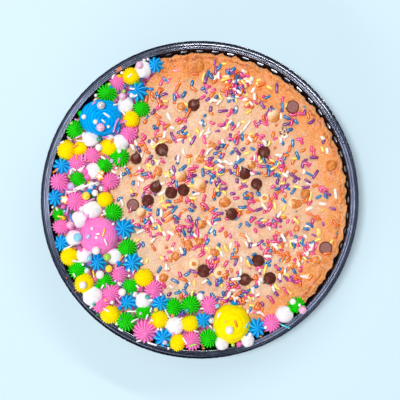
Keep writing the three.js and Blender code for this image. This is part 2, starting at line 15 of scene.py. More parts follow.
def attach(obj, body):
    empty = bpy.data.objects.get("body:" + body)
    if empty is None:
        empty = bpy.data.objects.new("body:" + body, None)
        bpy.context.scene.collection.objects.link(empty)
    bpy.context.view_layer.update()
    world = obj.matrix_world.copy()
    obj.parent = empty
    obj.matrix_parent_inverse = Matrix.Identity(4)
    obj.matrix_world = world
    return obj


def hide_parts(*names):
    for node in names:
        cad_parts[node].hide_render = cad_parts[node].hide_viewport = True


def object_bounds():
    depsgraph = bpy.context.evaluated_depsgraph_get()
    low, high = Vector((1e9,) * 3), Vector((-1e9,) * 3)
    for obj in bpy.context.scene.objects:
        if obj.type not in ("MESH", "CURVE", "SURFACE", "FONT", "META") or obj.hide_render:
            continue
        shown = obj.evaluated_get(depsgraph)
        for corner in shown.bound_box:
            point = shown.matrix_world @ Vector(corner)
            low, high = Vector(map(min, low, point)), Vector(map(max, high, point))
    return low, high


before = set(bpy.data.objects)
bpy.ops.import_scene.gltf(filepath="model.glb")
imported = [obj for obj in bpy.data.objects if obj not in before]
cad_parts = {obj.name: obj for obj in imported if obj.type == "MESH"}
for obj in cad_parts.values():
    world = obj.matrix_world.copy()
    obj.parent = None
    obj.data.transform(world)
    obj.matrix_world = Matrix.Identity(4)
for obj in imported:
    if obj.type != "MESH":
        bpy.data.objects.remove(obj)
cad_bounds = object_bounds()

MM = 0.001
TURN = 2 * math.pi
DEGREE = math.pi / 180

# ---------------------------------------------------------------- sizes of the tin and the cookie

RIM_RADIUS = round(cad_bounds[1][0] / MM, 2)
RIM_TOP = 32
SHEET = 0.8
FLUTES = 60
FLUTE_DEPTH = 1.6
POINTS_PER_FLUTE = 12
FLOOR_RADIUS = 99.5
CORNER_HEIGHT = 2.4
# The wall leans outward and reaches the mouth's radius at the mouth's level. The mouth is 1 mm and the
# cookie's edge up to 3 mm further out than in the solids, after the photograph.
MOUTH_RADIUS = RIM_RADIUS - 6.1
MOUTH_LEVEL = RIM_TOP - 0.6
WALL_SLOPE = 0.38

COOKIE_LEVEL = RIM_TOP - 4
COOKIE_EDGE = MOUTH_RADIUS - 2.4
COOKIE_WIDER = 0.8
COOKIE_CRIMP = 1.1
# Each ring of the cookie's top has so many more points than the one inside it
COOKIE_RINGS, RING_STEP = 154, 6
# Its side keeps clear of the wall at these heights, and its underside is a flat circle
COOKIE_SIDE = (25.8, 20, 10, 5.4)
COOKIE_CLEAR = 0.5
COOKIE_FOOT = FLOOR_RADIUS - 0.6
COOKIE_UNDERSIDE = SHEET + 0.3
LUMP = 0.9
LUMP_WAVES = [(0.071, 0.083, 0.9), (0.071, -0.083, 1.7), (0.15, -0.11, 2.1)]
LIP = 0.8
LIP_INNER, LIP_OUTER = 90, 101
MIDDLE_INNER, MIDDLE_OUTER = 38, 58
EDGE_DROP = 1.6
EDGE_INNER, EDGE_OUTER = 105, 113
# Toward its edge the top has a broken groove, then a raised crest, and beyond that a pale line: paler skin
# with a painted highlight
GROOVE_RADIUS = COOKIE_EDGE - 4.2
CREST_RADIUS = COOKIE_EDGE - 2.5
PALE_RADIUS = COOKIE_EDGE - 1.5
GROOVE_DEPTH = 0.7
STEP_HEIGHT = 0.55
# Each chip sits in a hollow with a low collar of dough round it
SEAT_DEPTH, COLLAR_HEIGHT = 0.8, 0.42
CHIP_REACH = 9

# Stretches of the edge, as directions in degrees where each begins, is full, fades and ends
BARE_EDGE = (-52, -38, 96, 104)
WIDER_EDGE = (-60, -46, -10, 4)
BROWNED_FLAP = (74, 88, 112, 120)
# The same for the rim: lit lip, painted highlight lines, speckled scuffs, matt lacquer, painted shade, lit
# flutes
# The lip is worn lighter only where it catches the light: partly worn metal and partly a painted highlight
SCUFF_AND_SHEEN = (-60, -35, 95, 112)
# Where lines on the bead are painted lighter, as highlights
LIT_BEAD = (16, 44, 100, 130)
SPECKLED = (-82, -62, -20, 5)
MATT_RIGHT = (-85, -50, 6, 34)
MATT_LEFT = (120, 150, 190, 215)
# Where the rim is painted darker, as shade on its lower left side
SHADED_SIDE = (-178, -150, -95, -60)
MATT_LEFT_SHARE, SHADED_SIDE_SHARE = 0.7, 0.62
# Where the bead's mouth carries a painted glint, and where the flute ends carry painted highlights
MOUTH_GLINT = (-130, -116, -86, -74)
LIT_FLUTES = (-32, -4, 104, 120)
FLUTE_SHINE = RIM_TOP - 3.1

# ---------------------------------------------------------------- layout of the toppings: x, y, radius

GREEN_STARS = [
    (-71, 81.5, 7.8), (-45.2, 70, 6.4), (-95.8, 53.5, 7.3), (-73.6, 26.4, 6.4), (-61, 32.8, 7),
    (-66.5, 34, 4.5), (-93.4, 15.6, 6.5), (-108.4, -11, 5.2), (-66.6, -9.8, 7.2), (-56, -36.8, 7.2),
    (-93.8, -53.8, 7.4), (-73, -62.5, 6.4), (-53.2, -66.4, 6.7), (-43, -86, 6.6), (-56.4, -93.4, 7.8),
    (-19.8, -82.8, 6.8), (-7, -81, 7.3), (6.8, -106.4, 7.4), (74.6, -81, 6.4), (-49, 90.5, 3.5),
]
PINK_STARS = [
    (-63.4, 90, 6.4), (-54.8, 50.6, 6.6), (-82.4, 34.2, 6.6), (-94, 28.5, 7.2), (-107.8, 13.6, 7.2),
    (-68.8, 14.2, 6.8), (-95.6, -0.8, 7.8), (-106.4, -20.6, 6.4), (-61.6, -57.4, 6.5), (-67.8, -71.8, 7.2),
    (-76, -80.8, 7.2), (-35.6, -69.4, 7.4), (-42.2, -100.8, 8.9), (7.4, -81.2, 6.8), (-5.4, -108.2, 7.2),
    (55, -94.8, 7),
]
BLUE_STARS = [
    (-34.3, 103.7, 6.3), (-47.6, 83, 7.6), (-105.6, 26, 7), (-111, 1.5, 6.5), (-106.2, -33.4, 6.5),
    (-57.6, -22, 7.8), (-78.4, -48.4, 7.2), (-51.8, -48.4, 7.6), (-55.4, -78.6, 6.9), (-30.4, -79.6, 7.2),
    (-27.8, -105.6, 7.8), (2.4, -92.4, 6.6), (43.8, -98.4, 7.2),
]
YELLOW_STARS = [
    (-52.8, 95, 6.7), (-52.6, 61.9, 6.4), (-70.2, 40.4, 6.6), (-102.4, 38, 7.2), (-92, 39.4, 5.6),
    (-73, 0.2, 6.1), (-100.2, -43.4, 7), (-88.8, -64.2, 7.5), (-43, -59.8, 7), (-68.8, -88.2, 7.4),
    (-31, -92, 6.8), (-7.4, -95, 6.6), (-17.2, -109.6, 6.4),
]
WHITE_KISSES = [
    (-43.6, 100, 6.2), (-57, 73, 6), (-83.6, 47, 6.2), (-61.2, 44, 6), (-81.6, 22, 6.1), (-82.4, -7.8, 6.8),
    (-92.4, -15.2, 6.3), (-96.4, -29.4, 5.9), (-89, -42.8, 5.7), (-66, -43.4, 5.9), (-82.4, -74, 7.3),
    (-43.4, -77.6, 6), (-19, -96.8, 6.5), (17, -110, 5.4), (36.8, -108, 5.2), (65.1, -88.1, 6.4),
]

# Chips: x, y, radius, and for a leaning one the direction of its tip in degrees
STANDING_CHOC_CHIPS = [
    (-22, 5.6, 4.9), (-12.4, 7.5, 4.8), (-40, -0.8, 4.8), (3.3, -54.9, 5.1), (45, -47.2, 5),
]
LEANING_CHOC_CHIPS = [
    (-49, 31.6, 4.3, 88), (-29.3, 38.6, 5, -55), (-33.9, 9.7, 4.6, 70), (25, -11, 4.7, 152),
    (34.7, 20, 4.6, 115), (43.8, 12.3, 4.4, -82), (49.3, 36.8, 4.8, -60), (34.6, -61.4, 4.8, 3),
    (54, -60.6, 4.8, 215), (-4.6, 72.8, 4.6, 50),
]
FLAT_CHOC_CHIPS = [(-51.4, -4, 4.7), (71.4, 71.4, 5), (96.9, -37.2, 5), (65, 52.5, 3.8)]
# Standing tan ones: x, y, radius, and how much dough has run over each; at 1 all but its tip
# Below 1 the same number also sets how strongly a chip's upper left is painted light, as a highlight
STANDING_TAN_CHIPS = [
    (-0.8, 102.4, 4.6, 0.3), (56.8, 64.8, 5.3, 0.6), (-14.9, 18.4, 4.9, 0.6), (0.1, 11.1, 5, 0.6),
    (49.7, 1.4, 4.3, 1), (-4.4, -49.4, 4.6, 1), (15, -56.3, 4.8, 1), (-45.3, -9.4, 3.8, 0.8),
    (81.6, 4.4, 3.9, 0.2), (101.3, 26.4, 4.2, 0),
]
# Half-buried ones: x, y, long radius, short radius, turn in degrees
LYING_TAN_CHIPS = [
    (-14.2, 72, 4.6, 4, 50), (9.5, 42.2, 4.6, 3.4, 0), (0.2, 31.7, 5, 3.5, -20), (-32, 22, 5.4, 3.2, 88),
    (39.8, 27, 4.6, 3.3, -75), (18.8, -1.4, 5.8, 4.4, 8), (73.5, -2.5, 5.4, 4.4, 0),
    (1.5, -18.4, 4.6, 3.7, 25), (-9, -33.4, 5, 3.1, -60), (-0.4, -32.2, 4.2, 2.9, 55),
    (11, -40.5, 4.9, 3.6, 0), (-18.6, -43.4, 5, 3.3, 55), (-28, -60.2, 4.9, 3.5, 50),
    (89.4, -46.4, 4.6, 3.8, 20), (71.3, -50.3, 3.9, 3.2, 30),
]

# Inner edge of the frosting's base, as direction in degrees and distance from the middle
CRESCENT_EDGE = [
    (108, 104), (119, 93), (127, 82), (137, 74), (151, 68.5), (160, 74), (168, 68), (180, 70), (190, 66),
    (202, 60), (214, 64), (226, 68), (240, 75), (256, 82), (270, 80), (280, 80),
]
TAIL_EDGE = [(290.5, 104), (295, 103), (302, 106), (311, 106)]
CRESCENT_OUTER = 109.5
BASE_HEIGHT = 3.4
FROSTING_FOOT = COOKIE_LEVEL + 0.3
# Where the tail hides sprinkles: distance from the middle, and degrees past the end of its edge
TAIL_INNER, TAIL_PAST = 98, 4

# The solids' scatter of sprinkles and one of short, more sunken ones between them:
# seed, how many, shortest, how much longer the longest is, how rare long ones are, how deep they sink
SCATTERS = [(20, 710, 4.2, 4.6, 1.3, 0), (58, 620, 4.2, 2.6, 1, 0.2)]
SPRINKLE_FIELD = 107
SPRINKLE_WIDTH = 2.45
EDGE_BARE_FROM, EDGE_DENSITY = 97, 0.3
EMPTY_FROM, EMPTY_DENSITY = 92, 0.03
DENSEST = 3.6
# Where they crowd: x, y, spread and how much denser
CROWDS = [
    (22, 93, 9, 1.6), (33, 84, 9, 1.8), (-42, 50, 8, 1.6), (12, 26, 8, 1.2), (57, 22, 7, 1.4),
    (60, -13, 6, 1), (74, -48, 10, 2), (85, -34, 6, 2.4), (-38, -22, 6, 1), (-37, -8, 6, 1),
    (15, -66, 6, 1), (31, -76, 9, 2), (66, 8, 6, 1), (76, 27, 6, 1),
]

# Sugar pearls on the frosting by colour: x, y, radius
PEARLS = {
    "white": [
        (-77.1, 39.9, 2.8), (-78.7, -38.6, 3.2), (-76.3, -57.3, 3.4), (-88.8, -64.8, 2.9),
        (-59.2, -70.6, 3.1), (0.4, -74.6, 3), (22.5, -98.6, 3.2), (71.2, -77.8, 2.5), (-80.2, 5.2, 2.6),
        (-88, 63, 1.9), (-78.9, 59, 1.9), (-61.4, 37.2, 1.8), (-52, 79.8, 1.8), (38.6, -103.2, 1.7),
        (-67, -78.4, 1.5), (40.8, -68.6, 1.7), (-42.6, 106.8, 1.3), (-39.8, 107.9, 1.2), (-59.8, 97.4, 1.3),
        (-80, 80.3, 1.4), (-69.4, 55.5, 1.2), (-64.1, 24.3, 1.3), (-113.2, -5.7, 1.1), (-73.4, -9, 1.2),
        (-81.6, -21.9, 1.2), (-78.2, -28.6, 1.2), (-66.2, -18.6, 1.2), (-54.2, -54, 1.2),
        (-54.2, -58.4, 1.1), (-89.5, -49.6, 1.1), (-62, -63.8, 1.1), (-63.8, -95.2, 1.2), (-37, -77, 1.2),
        (-29.6, -72.6, 1.1), (-32, -99.2, 1.1), (-29.6, -99.4, 1.1), (-24, -114, 1), (50.4, -97.8, 1.3),
        (76.2, -80.4, 1.2),
    ],
    "silver": [(-74.8, 71.4, 3.1), (9, -92.4, 2.4), (-75.2, 8.6, 2.2)],
    "pale_pink": [
        (-75.1, 54.8, 3.2), (-46, 102.6, 2.8), (-59, 79, 2.8), (-98.8, -19, 2.8), (78.6, -84.2, 3.2),
        (-45.2, -86.6, 1.1), (-62.4, 16.8, 1.2),
    ],
    "lilac": [
        (-98.6, 10.4, 3), (-67.6, 29.8, 1.7), (-84.4, -28, 2), (-26.6, -108.8, 1.8), (-33.2, -100.6, 1.3),
        (-64.6, -62.2, 1.2),
    ],
    "indigo": [(-13.2, -86.6, 2)],
    "aqua": [
        (-92.8, -28.6, 3.5), (-84.2, -44.6, 2.3), (-56.2, -46.4, 1.3), (13.4, -81.4, 1.8),
        (-103.8, -8.8, 1.2),
    ],
    "teal": [
        (-77.2, 46.2, 1.8), (-40, -74.2, 1.9), (-9.9, -84.5, 1.9), (-52.4, -71.6, 1.5), (-80.8, -79.8, 1.4),
        (-60.4, -91.2, 1.2),
    ],
    "lime": [
        (-70.6, -43.6, 3), (-69.2, 88.2, 1.6), (-58.2, 83, 1.7), (25.6, -111.4, 1.6), (-98, 58.6, 1.3),
        (-100, 18, 1.3),
    ],
    "yellow": [(-87, 3, 3.3), (-69.6, -52.8, 2.9), (-33.4, -84, 1.7), (19.5, -92.6, 1.2)],
    "orange": [(-20.6, -88.4, 1.3), (-95.8, -37.3, 1), (-84.6, 30, 0.9)],
}
# Sugar rods on the frosting by colour: x, y, length, direction in degrees
RODS = {
    "white": [
        (-70.6, 64.2, 6, -35), (-73, 59.4, 4, -45), (-51.6, 84.8, 5, -10), (-49, 79.4, 4, 25),
        (-74, 32.2, 4.5, -35), (-97.8, 6, 8, 15), (-89.8, 9.2, 10, 20), (-91, 45, 9, -5),
        (-98.6, 21.4, 5, 70), (-96.4, 23.2, 4, -30), (-109.6, -7, 4, -60), (-77.2, -26, 3.5, 10),
        (-71.3, -32, 6, -72), (-100.4, -36.2, 9, 28), (-94.4, -47.4, 7, -15), (-57, -29.2, 3, 40),
        (-56.4, -42.8, 3, 50), (-74.4, -66.6, 5, 58), (-47.8, -66.4, 3, -45), (-71.4, -84, 5.5, -28),
        (-52.2, -85.8, 7.5, 0), (-49.8, -92.4, 7, 25), (-40.4, -89.8, 5, 70), (-24.8, -87.6, 8, -60),
        (1.8, -83.4, 3.5, 10), (8.4, -97.6, 3.5, -50), (-11.4, -108, 6, -60), (26.6, -76, 6, -75),
        (38.4, -77.2, 8, 15), (-53.4, 94.8, 4.5, 35), (-87.6, -4.2, 4, 30), (-92.5, 9.6, 10, 22),
        (-83.6, 11.6, 11, 15), (-98.4, 6.6, 8, 4), (-89.2, 24.6, 4, 60), (-92, 22.2, 4, -35),
        (-73.6, -11.2, 5, 22), (-105.4, 44, 4, 20), (-100.4, 47.2, 5, -40), (-64.4, 72.6, 4, 15),
        (-58.6, 66.4, 4.5, -50), (-80.4, 77.4, 3.5, 30), (-66.2, 94.4, 4, 65), (-58.2, -14.4, 4, 30),
        (-95.8, -57.6, 4, -70), (-83, -82, 4, 40), (-60.6, -99.6, 4.5, -30), (-36.5, -110.4, 8, -18),
        (-46.6, -108, 4.5, 20), (-37.4, -84.4, 4, 75), (-14.4, -91, 4, 35), (-2.6, -100.8, 5, -20),
        (14.6, -88, 5, 65), (48.6, -88.4, 4, -40),
    ],
    "pink": [
        (-62.8, 60.2, 5, 60), (-65, 54.8, 8, 70), (-80.6, 73.8, 4, 45), (-90.4, 32.4, 6, 90),
        (-87.8, 32.4, 6, 90), (-61.8, 30, 5, 70), (-93, 48, 6, 25), (-72, 47.8, 7, -3),
        (-114, -10.2, 5.5, 65), (-61.2, -52, 7, 12), (-50.6, -55.6, 5, 70), (-71, -65.4, 4, -75),
        (-69.6, -67, 4, -75), (-62, -77.4, 7, -55), (-84, -0.6, 8, 25), (-86.4, -14.4, 8, 68),
        (-87.6, -11.8, 5, -50), (-102.2, 4.8, 4, 80), (-64, -50.8, 5, 82), (-61, -74.6, 4, 45),
        (-101.8, -8.4, 6, 75), (-78.4, 16.6, 4, -60), (-57.8, 59.8, 5, 20), (-94.8, 61.6, 4, -20),
        (-37.6, -73.8, 4.5, 15), (-20.6, -103, 5, 60), (9.2, -87.4, 4, 0),
    ],
    "blue": [(-62.4, 53.2, 6, 75), (-98.4, -13.8, 8, -72), (-57.4, 87.4, 3, 80), (36.4, -103, 4.5, 45)],
    "orange": [
        (-110.8, 22.4, 7, 35), (-93.8, 32.4, 5, -80), (-60.2, -45, 5.5, 55), (27.4, -94, 6, -70),
        (-67, 45, 5, 60), (-95, 41, 5, 25),
    ],
    "yellow": [(-106.4, -13, 5.5, -10), (-72.8, -24.8, 6.5, 75), (-81.6, -57, 6, -80), (38.6, -70, 9, -60)],
    "lime": [(-5.4, -111, 6, 15)],
    "aqua": [(36.2, -95.6, 6, 60)],
    "turquoise": [(65.6, -97, 8, -22)],
}

# Flat star-shaped sweets on the frosting: x, y, radius
CANDY_STARS = [(-76.2, 17.6, 3.6), (-103.6, 0.4, 3.8), (-74.6, 20.6, 2.2)]

# Pink smears melted into the cookie: x, y, long radius, short radius, direction in degrees
SMEARS = [
    (-18, 100, 3.4, 1.4, 15), (-38, 93, 3, 1.2, -40), (43, -86, 4, 1.6, 20), (-26, 96, 1.6, 1, 0),
    (-52.6, 43, 2.4, 1.2, 70), (-47, 12, 2.2, 1.2, 80),
]
# Specks of colour in the dough: x, y, radius
TEAL_SPECKS = [
    (-17, -64.5, 0.8), (-16, -70, 0.9), (80.5, 71.5, 1), (105, -26, 0.9), (98, 40, 0.8), (101, 20, 0.7),
    (74.5, -9, 0.8), (16, 38, 0.7), (-43, 60, 0.8), (104.6, -22, 0.6), (30, 60, 0.6), (-12, 56, 0.6),
    (56, -70, 0.7),
]
# Crumbs on the rim and at the edge: x, y, height they lie at, long radius, short radius, direction,
# how dark
CRUMBS = [
    (-62, 100, 31.4, 2.8, 1.8, 40, 1), (-102, -60, 31.6, 0.9, 0.6, 30, 1),
    (-95, -70.6, 31.6, 1, 0.6, 60, 1), (-38, -108, 30.6, 1.3, 0.9, 10, 0.7),
    (3, -114, 30.4, 1.2, 0.8, 0, 0.7), (47, -105, 30.2, 1.3, 0.9, 20, 0.7),
    (2, -112, 30, 0.9, 0.7, 50, 0.6),
]


# ---------------------------------------------------------------- small tools

def srgb(red, green, blue):
    """A colour given as 0 to 255 in sRGB, as the shaders want it."""
    parts = [value / 255 for value in (red, green, blue)]
    return tuple(p / 12.92 if p <= 0.04045 else ((p + 0.055) / 1.055) ** 2.4 for p in parts) + (1,)


def smoothstep(start, end, value):
    share = np.clip((value - start) / (end - start), 0, 1)
    return share * share * (3 - 2 * share)


def stretch(value, start, full, fading, end):
    """1 between full and fading, 0 before start and past end, and smooth in between."""
    return smoothstep(start, full, value) * (1 - smoothstep(fading, end, value))


def bump(value, middle, width):
    return np.exp(-((value - middle) / width) ** 2)


def even_angles(count):
    return np.arange(count) * TURN / count


def in_degrees(angle):
    """An angle in radians as degrees from -180 to 180."""
    return (angle / DEGREE + 180) % 360 - 180


def flute_wave(angle):
    """1 in the middle of a flute, where the wall comes inward, and 0 between two."""
    return 0.5 * (1 + np.cos(FLUTES * angle))


def points(x, y, level):
    """Rows of x, y and height."""
    return np.stack(np.broadcast_arrays(x, y, level), 1)


def polar(distance, angle):
    """x and y at a distance from the middle, in a direction in radians."""
    return distance * np.cos(angle), distance * np.sin(angle)


def circle(radius, angle, level):
    return points(*polar(radius, angle), level)


def seeded_random(seed):
    """The same seeded draw between 0 and 1 as the solids use, so that both place the same sprinkles."""
    mask = 0xFFFFFFFF
    state = seed & mask

    def draw():
        nonlocal state
        state = (state + 0x6D2B79F5) & mask
        mixed = ((state ^ (state >> 15)) * (state | 1)) & mask
        mixed ^= (mixed + (mixed ^ (mixed >> 7)) * (mixed | 61)) & mask
        return (mixed ^ (mixed >> 14)) / (mask + 1)

    return draw


def soft_noise(x, y, size, seed):
    """Smooth noise between -1 and 1 whose bumps are about size across. The seed is any whole number,
    and tells one noise from another."""
    across, up = np.asarray(x) / size, np.asarray(y) / size
    column, row = np.floor(across).astype(np.int64), np.floor(up).astype(np.int64)
    share_x, share_y = across - column, up - row
    share_x = share_x * share_x * (3 - 2 * share_x)
    share_y = share_y * share_y * (3 - 2 * share_y)

    def corner(step_x, step_y):
        code = (column + step_x) * 374761393 + (row + step_y) * 668265263 + seed * 974634777
        code = (code ^ (code >> 13)) * 1274126177
        return ((code ^ (code >> 16)) & 0xFFFF) / 32767.5 - 1

    low = corner(0, 0) * (1 - share_x) + corner(1, 0) * share_x
    high = corner(0, 1) * (1 - share_x) + corner(1, 1) * share_x
    return low * (1 - share_y) + high * share_y


def rounded(profile, steps):
    """A smooth line through a profile's points, with a number of steps between each two."""
    profile = np.asarray(profile, float)
    ends = np.vstack([2 * profile[0] - profile[1], profile, 2 * profile[-1] - profile[-2]])
    line = []
    for k in range(1, len(ends) - 2):
        before, start, end, after = ends[k - 1:k + 3]
        for step in range(steps):
            t = step / steps
            line.append(0.5 * (2 * start + (end - before) * t
                               + (2 * before - 5 * start + 4 * end - after) * t * t
                               + (3 * start - before - 3 * end + after) * t ** 3))
    line.append(profile[-1])
    return np.array(line)


class Heap:
    """Collects the bodies of one piece, with two numbers for each point that its material reads:
    its tone, and how deep in a fold it lies."""

    def __init__(self):
        self.vertices = []
        self.faces = []
        self.tones = []
        self.folds = []
        self.count = 0

    def add(self, body, tone=0.0, fold=0.0):
        vertices, faces = body
        self.vertices.append(vertices)
        self.tones.append(np.broadcast_to(np.asarray(tone, float), len(vertices)))
        self.folds.append(np.broadcast_to(np.asarray(fold, float), len(vertices)))
        self.faces.extend(tuple(corner + self.count for corner in face) for face in faces)
        self.count += len(vertices)


def capped(grid, first, last):
    """One closed body: rings of points that run anticlockwise, from a first to a last point."""
    rows, around, _ = grid.shape
    vertices = np.concatenate([[first], grid.reshape(-1, 3), [last]])
    here = 1 + np.arange(around)
    there = 1 + (np.arange(around) + 1) % around
    faces = [(0, b, a) for a, b in zip(here, there)]
    for row in range(rows - 1):
        low, high = row * around, (row + 1) * around
        faces += [(a + low, b + low, b + high, a + high) for a, b in zip(here, there)]
    top = (rows - 1) * around
    faces += [(a + top, b + top, len(vertices) - 1) for a, b in zip(here, there)]
    return vertices, faces


def put_in_scene(name, data):
    obj = bpy.data.objects.new(name, data)
    bpy.context.scene.collection.objects.link(obj)
    return obj


def make_piece(name, heap, material, replaces=()):
    """A mesh object in metres from a heap's bodies, which rides on the part's one body."""
    mesh = bpy.data.meshes.new(name)
    vertices = np.concatenate(heap.vertices) * MM
    mesh.from_pydata(vertices.tolist(), [], [tuple(map(int, face)) for face in heap.faces])
    for label, values in (("tone", heap.tones), ("fold", heap.folds)):
        attribute = mesh.attributes.new(label, "FLOAT", "POINT")
        attribute.data.foreach_set("value", np.concatenate(values).astype(np.float32))
    mesh.shade_smooth()
    mesh.materials.append(material)
    obj = put_in_scene(name, mesh)
    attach(obj, "root")
    if replaces:
        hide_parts(*replaces)
    return obj


# ---------------------------------------------------------------- materials

class Shader:
    """A material whose nodes are added one by one. Three numbers are a colour, 0 to 255 in sRGB."""

    def __init__(self, name, colour, roughness, **settings):
        self.material = bpy.data.materials.new(name)
        self.material.use_nodes = True
        self.tree = self.material.node_tree
        self.surface = self.tree.nodes["Principled BSDF"]
        self.feed(self.surface, Base_Color=colour, Roughness=roughness, **settings)
        self.coordinates = self.node("TexCoord").outputs["Object"]
        self.bump = None

    def set(self, socket, value):
        if isinstance(value, bpy.types.NodeSocket):
            self.tree.links.new(value, socket)
        else:
            socket.default_value = srgb(*value) if isinstance(value, tuple) else value

    def feed(self, node, **inputs):
        for socket, value in inputs.items():
            self.set(node.inputs[socket.replace("_", " ")], value)

    def node(self, kind, **inputs):
        made = self.tree.nodes.new("ShaderNode" + kind)
        self.feed(made, **inputs)
        return made

    def noise(self, size_mm, detail=3.0, roughness=0.55):
        """Noise whose bumps are about size_mm across, between 0 and 1."""
        made = self.node("TexNoise", Vector=self.coordinates, Scale=1 / (size_mm * MM), Detail=detail,
                         Roughness=roughness)
        return made.outputs["Fac"]

    def cells(self, size_mm):
        """How far a point lies from the middle of its cell, for cells about size_mm across."""
        made = self.node("TexVoronoi", Vector=self.coordinates, Scale=1 / (size_mm * MM))
        return made.outputs["Distance"]

    def point_value(self, label):
        made = self.node("Attribute")
        made.attribute_name = label
        return made.outputs["Fac"]

    def tone(self):
        return self.point_value("tone")

    def fold(self):
        return self.point_value("fold")

    def spread(self, value, low, high, to_low=0.0, to_high=1.0):
        """Value carried from one range to another, and kept inside it."""
        made = self.node("MapRange", Value=value, From_Min=low, From_Max=high, To_Min=to_low,
                         To_Max=to_high)
        made.interpolation_type = "SMOOTHSTEP"
        return made.outputs["Result"]

    def patches(self, size_mm, low, high, to_low=0.0, to_high=1.0, **settings):
        """Noise carried from one range to another."""
        return self.spread(self.noise(size_mm, **settings), low, high, to_low, to_high)

    def math(self, operation, first, second):
        made = self.node("Math")
        made.operation = operation
        self.set(made.inputs[0], first)
        self.set(made.inputs[1], second)
        return made.outputs["Value"]

    def times(self, first, second):
        return self.math("MULTIPLY", first, second)

    def plus(self, first, second):
        return self.math("ADD", first, second)

    def around_zero(self, noise, depth):
        """Noise between 0 and 1 moved to both sides of 0, depth from end to end."""
        return self.times(self.math("SUBTRACT", noise, 0.5), depth)

    def mix(self, share, first, second, blend="MIX"):
        made = self.node("Mix")
        made.data_type = "RGBA"
        made.blend_type = blend
        self.set(made.inputs["Factor"], share)
        self.set(made.inputs[6], first)
        self.set(made.inputs[7], second)
        return made.outputs[2]

    def ramp(self, value, *colours):
        """A colour for each value from 0 to 1, through colours that are evenly spaced."""
        made = self.node("ValToRGB", Fac=value)
        elements = made.color_ramp.elements
        while len(elements) < len(colours):
            elements.new(0.5)
        for k, (element, colour) in enumerate(zip(elements, colours)):
            element.position = k / (len(colours) - 1)
            element.color = srgb(*colour)
        return made.outputs["Color"]

    def colour(self, value):
        self.feed(self.surface, Base_Color=value)

    def roughness(self, value):
        self.feed(self.surface, Roughness=value)

    def relief(self, height, depth_mm):
        """Bump of a height between 0 and 1 that stands for depth_mm."""
        made = self.node("Bump", Height=height, Distance=depth_mm * MM, Strength=1.0)
        if self.bump:
            self.feed(made, Normal=self.bump)
        self.bump = made.outputs["Normal"]
        self.feed(self.surface, Normal=self.bump)


def frosting_material(name, colour, deep, light):
    """Piped frosting: painted highlights on its crests, painted shade in its folds, and softly shining."""
    shader = Shader(name, colour, 0.4, Specular_IOR_Level=0.28, Specular_Tint=colour)
    body = shader.mix(shader.patches(3.5, 0.35, 0.7, 0.0, 0.35), colour, deep)
    # Painted shade deep in the grooves
    body = shader.mix(shader.spread(shader.fold(), 0.25, 1.0, 0.0, 0.85), body, deep)
    # Painted highlight on the crests, most toward the top
    crest = shader.times(shader.spread(shader.fold(), 0.0, 0.35, 0.75, 0.0),
                         shader.spread(shader.tone(), 0.1, 0.5))
    shader.colour(shader.mix(crest, body, light))
    shader.roughness(shader.patches(1.4, 0.3, 0.7, 0.32, 0.5))
    shader.relief(shader.noise(0.7, detail=2), 0.06)
    return shader.material


def sugar_material(name, colour, deep):
    """Hard sugar of sprinkles and rods: each body a little lighter or deeper,
    with painted shade down its sides.
    """
    shader = Shader(name, colour, 0.26, Specular_IOR_Level=1.0)
    shade = shader.times(shader.tone(), 0.5)
    speckle = shader.times(shader.noise(0.8), 0.3)
    # Painted shade down the sides of each body
    side = shader.times(shader.fold(), 0.9)
    shader.colour(shader.mix(shader.plus(side, shader.plus(shade, speckle)), colour, deep))
    shader.relief(shader.noise(0.5, detail=2), 0.05)
    return shader.material


def pearl_material(name, colour, deep, metallic):
    """Polished sugar pearl with a thin lustre."""
    shader = Shader(name, colour, 0.22, Coat_Weight=0.6, Coat_Roughness=0.12, Metallic=metallic,
                    Sheen_Weight=0.1)
    shader.colour(shader.mix(shader.patches(1.6, 0.35, 0.7), colour, deep))
    shader.relief(shader.noise(0.9, detail=1), 0.04)
    return shader.material


def chocolate_material():
    """Chocolate chips: red-brown and satin, with a dusty bloom on the flat ones.
    Tone is how dusty one is, and fold how much dough has run over it."""
    shader = Shader("chocolate", (84, 34, 24), 0.2, Specular_IOR_Level=0.28, Specular_Tint=(255, 224, 214))
    base = shader.mix(shader.patches(2.2, 0.35, 0.7), (76, 24, 15), (98, 38, 25))
    dust = shader.times(shader.tone(), shader.patches(0.9, 0.3, 0.6, 0.35, 1.0))
    dusty = shader.mix(dust, base, (158, 110, 106))
    dough = shader.times(shader.fold(), shader.patches(1.5, 0.47, 0.53))
    shader.colour(shader.mix(dough, dusty, (244, 206, 170)))
    shader.roughness(shader.spread(shader.tone(), 0.0, 1.0, 0.33, 0.7))
    shader.relief(shader.noise(1.1), 0.10)
    return shader.material


def tan_material():
    """Butterscotch chips: caramel where bare, dough-coloured where dough ran over them and, on their upper
    left, as a painted highlight.
    """
    shader = Shader("tan_chip", (232, 156, 84), 0.36, Specular_IOR_Level=0.45)
    caramel = shader.mix(shader.patches(1.7, 0.35, 0.65), (238, 150, 70), (196, 102, 40))
    dough = shader.mix(shader.patches(1.5, 0.35, 0.7), (255, 230, 192), (250, 206, 152))
    edge = shader.plus(shader.tone(), shader.times(shader.noise(1.3), 0.35))
    shader.colour(shader.mix(shader.spread(edge, 0.45, 0.95), caramel, dough))
    shader.relief(shader.noise(1.5), 0.16)
    return shader.material


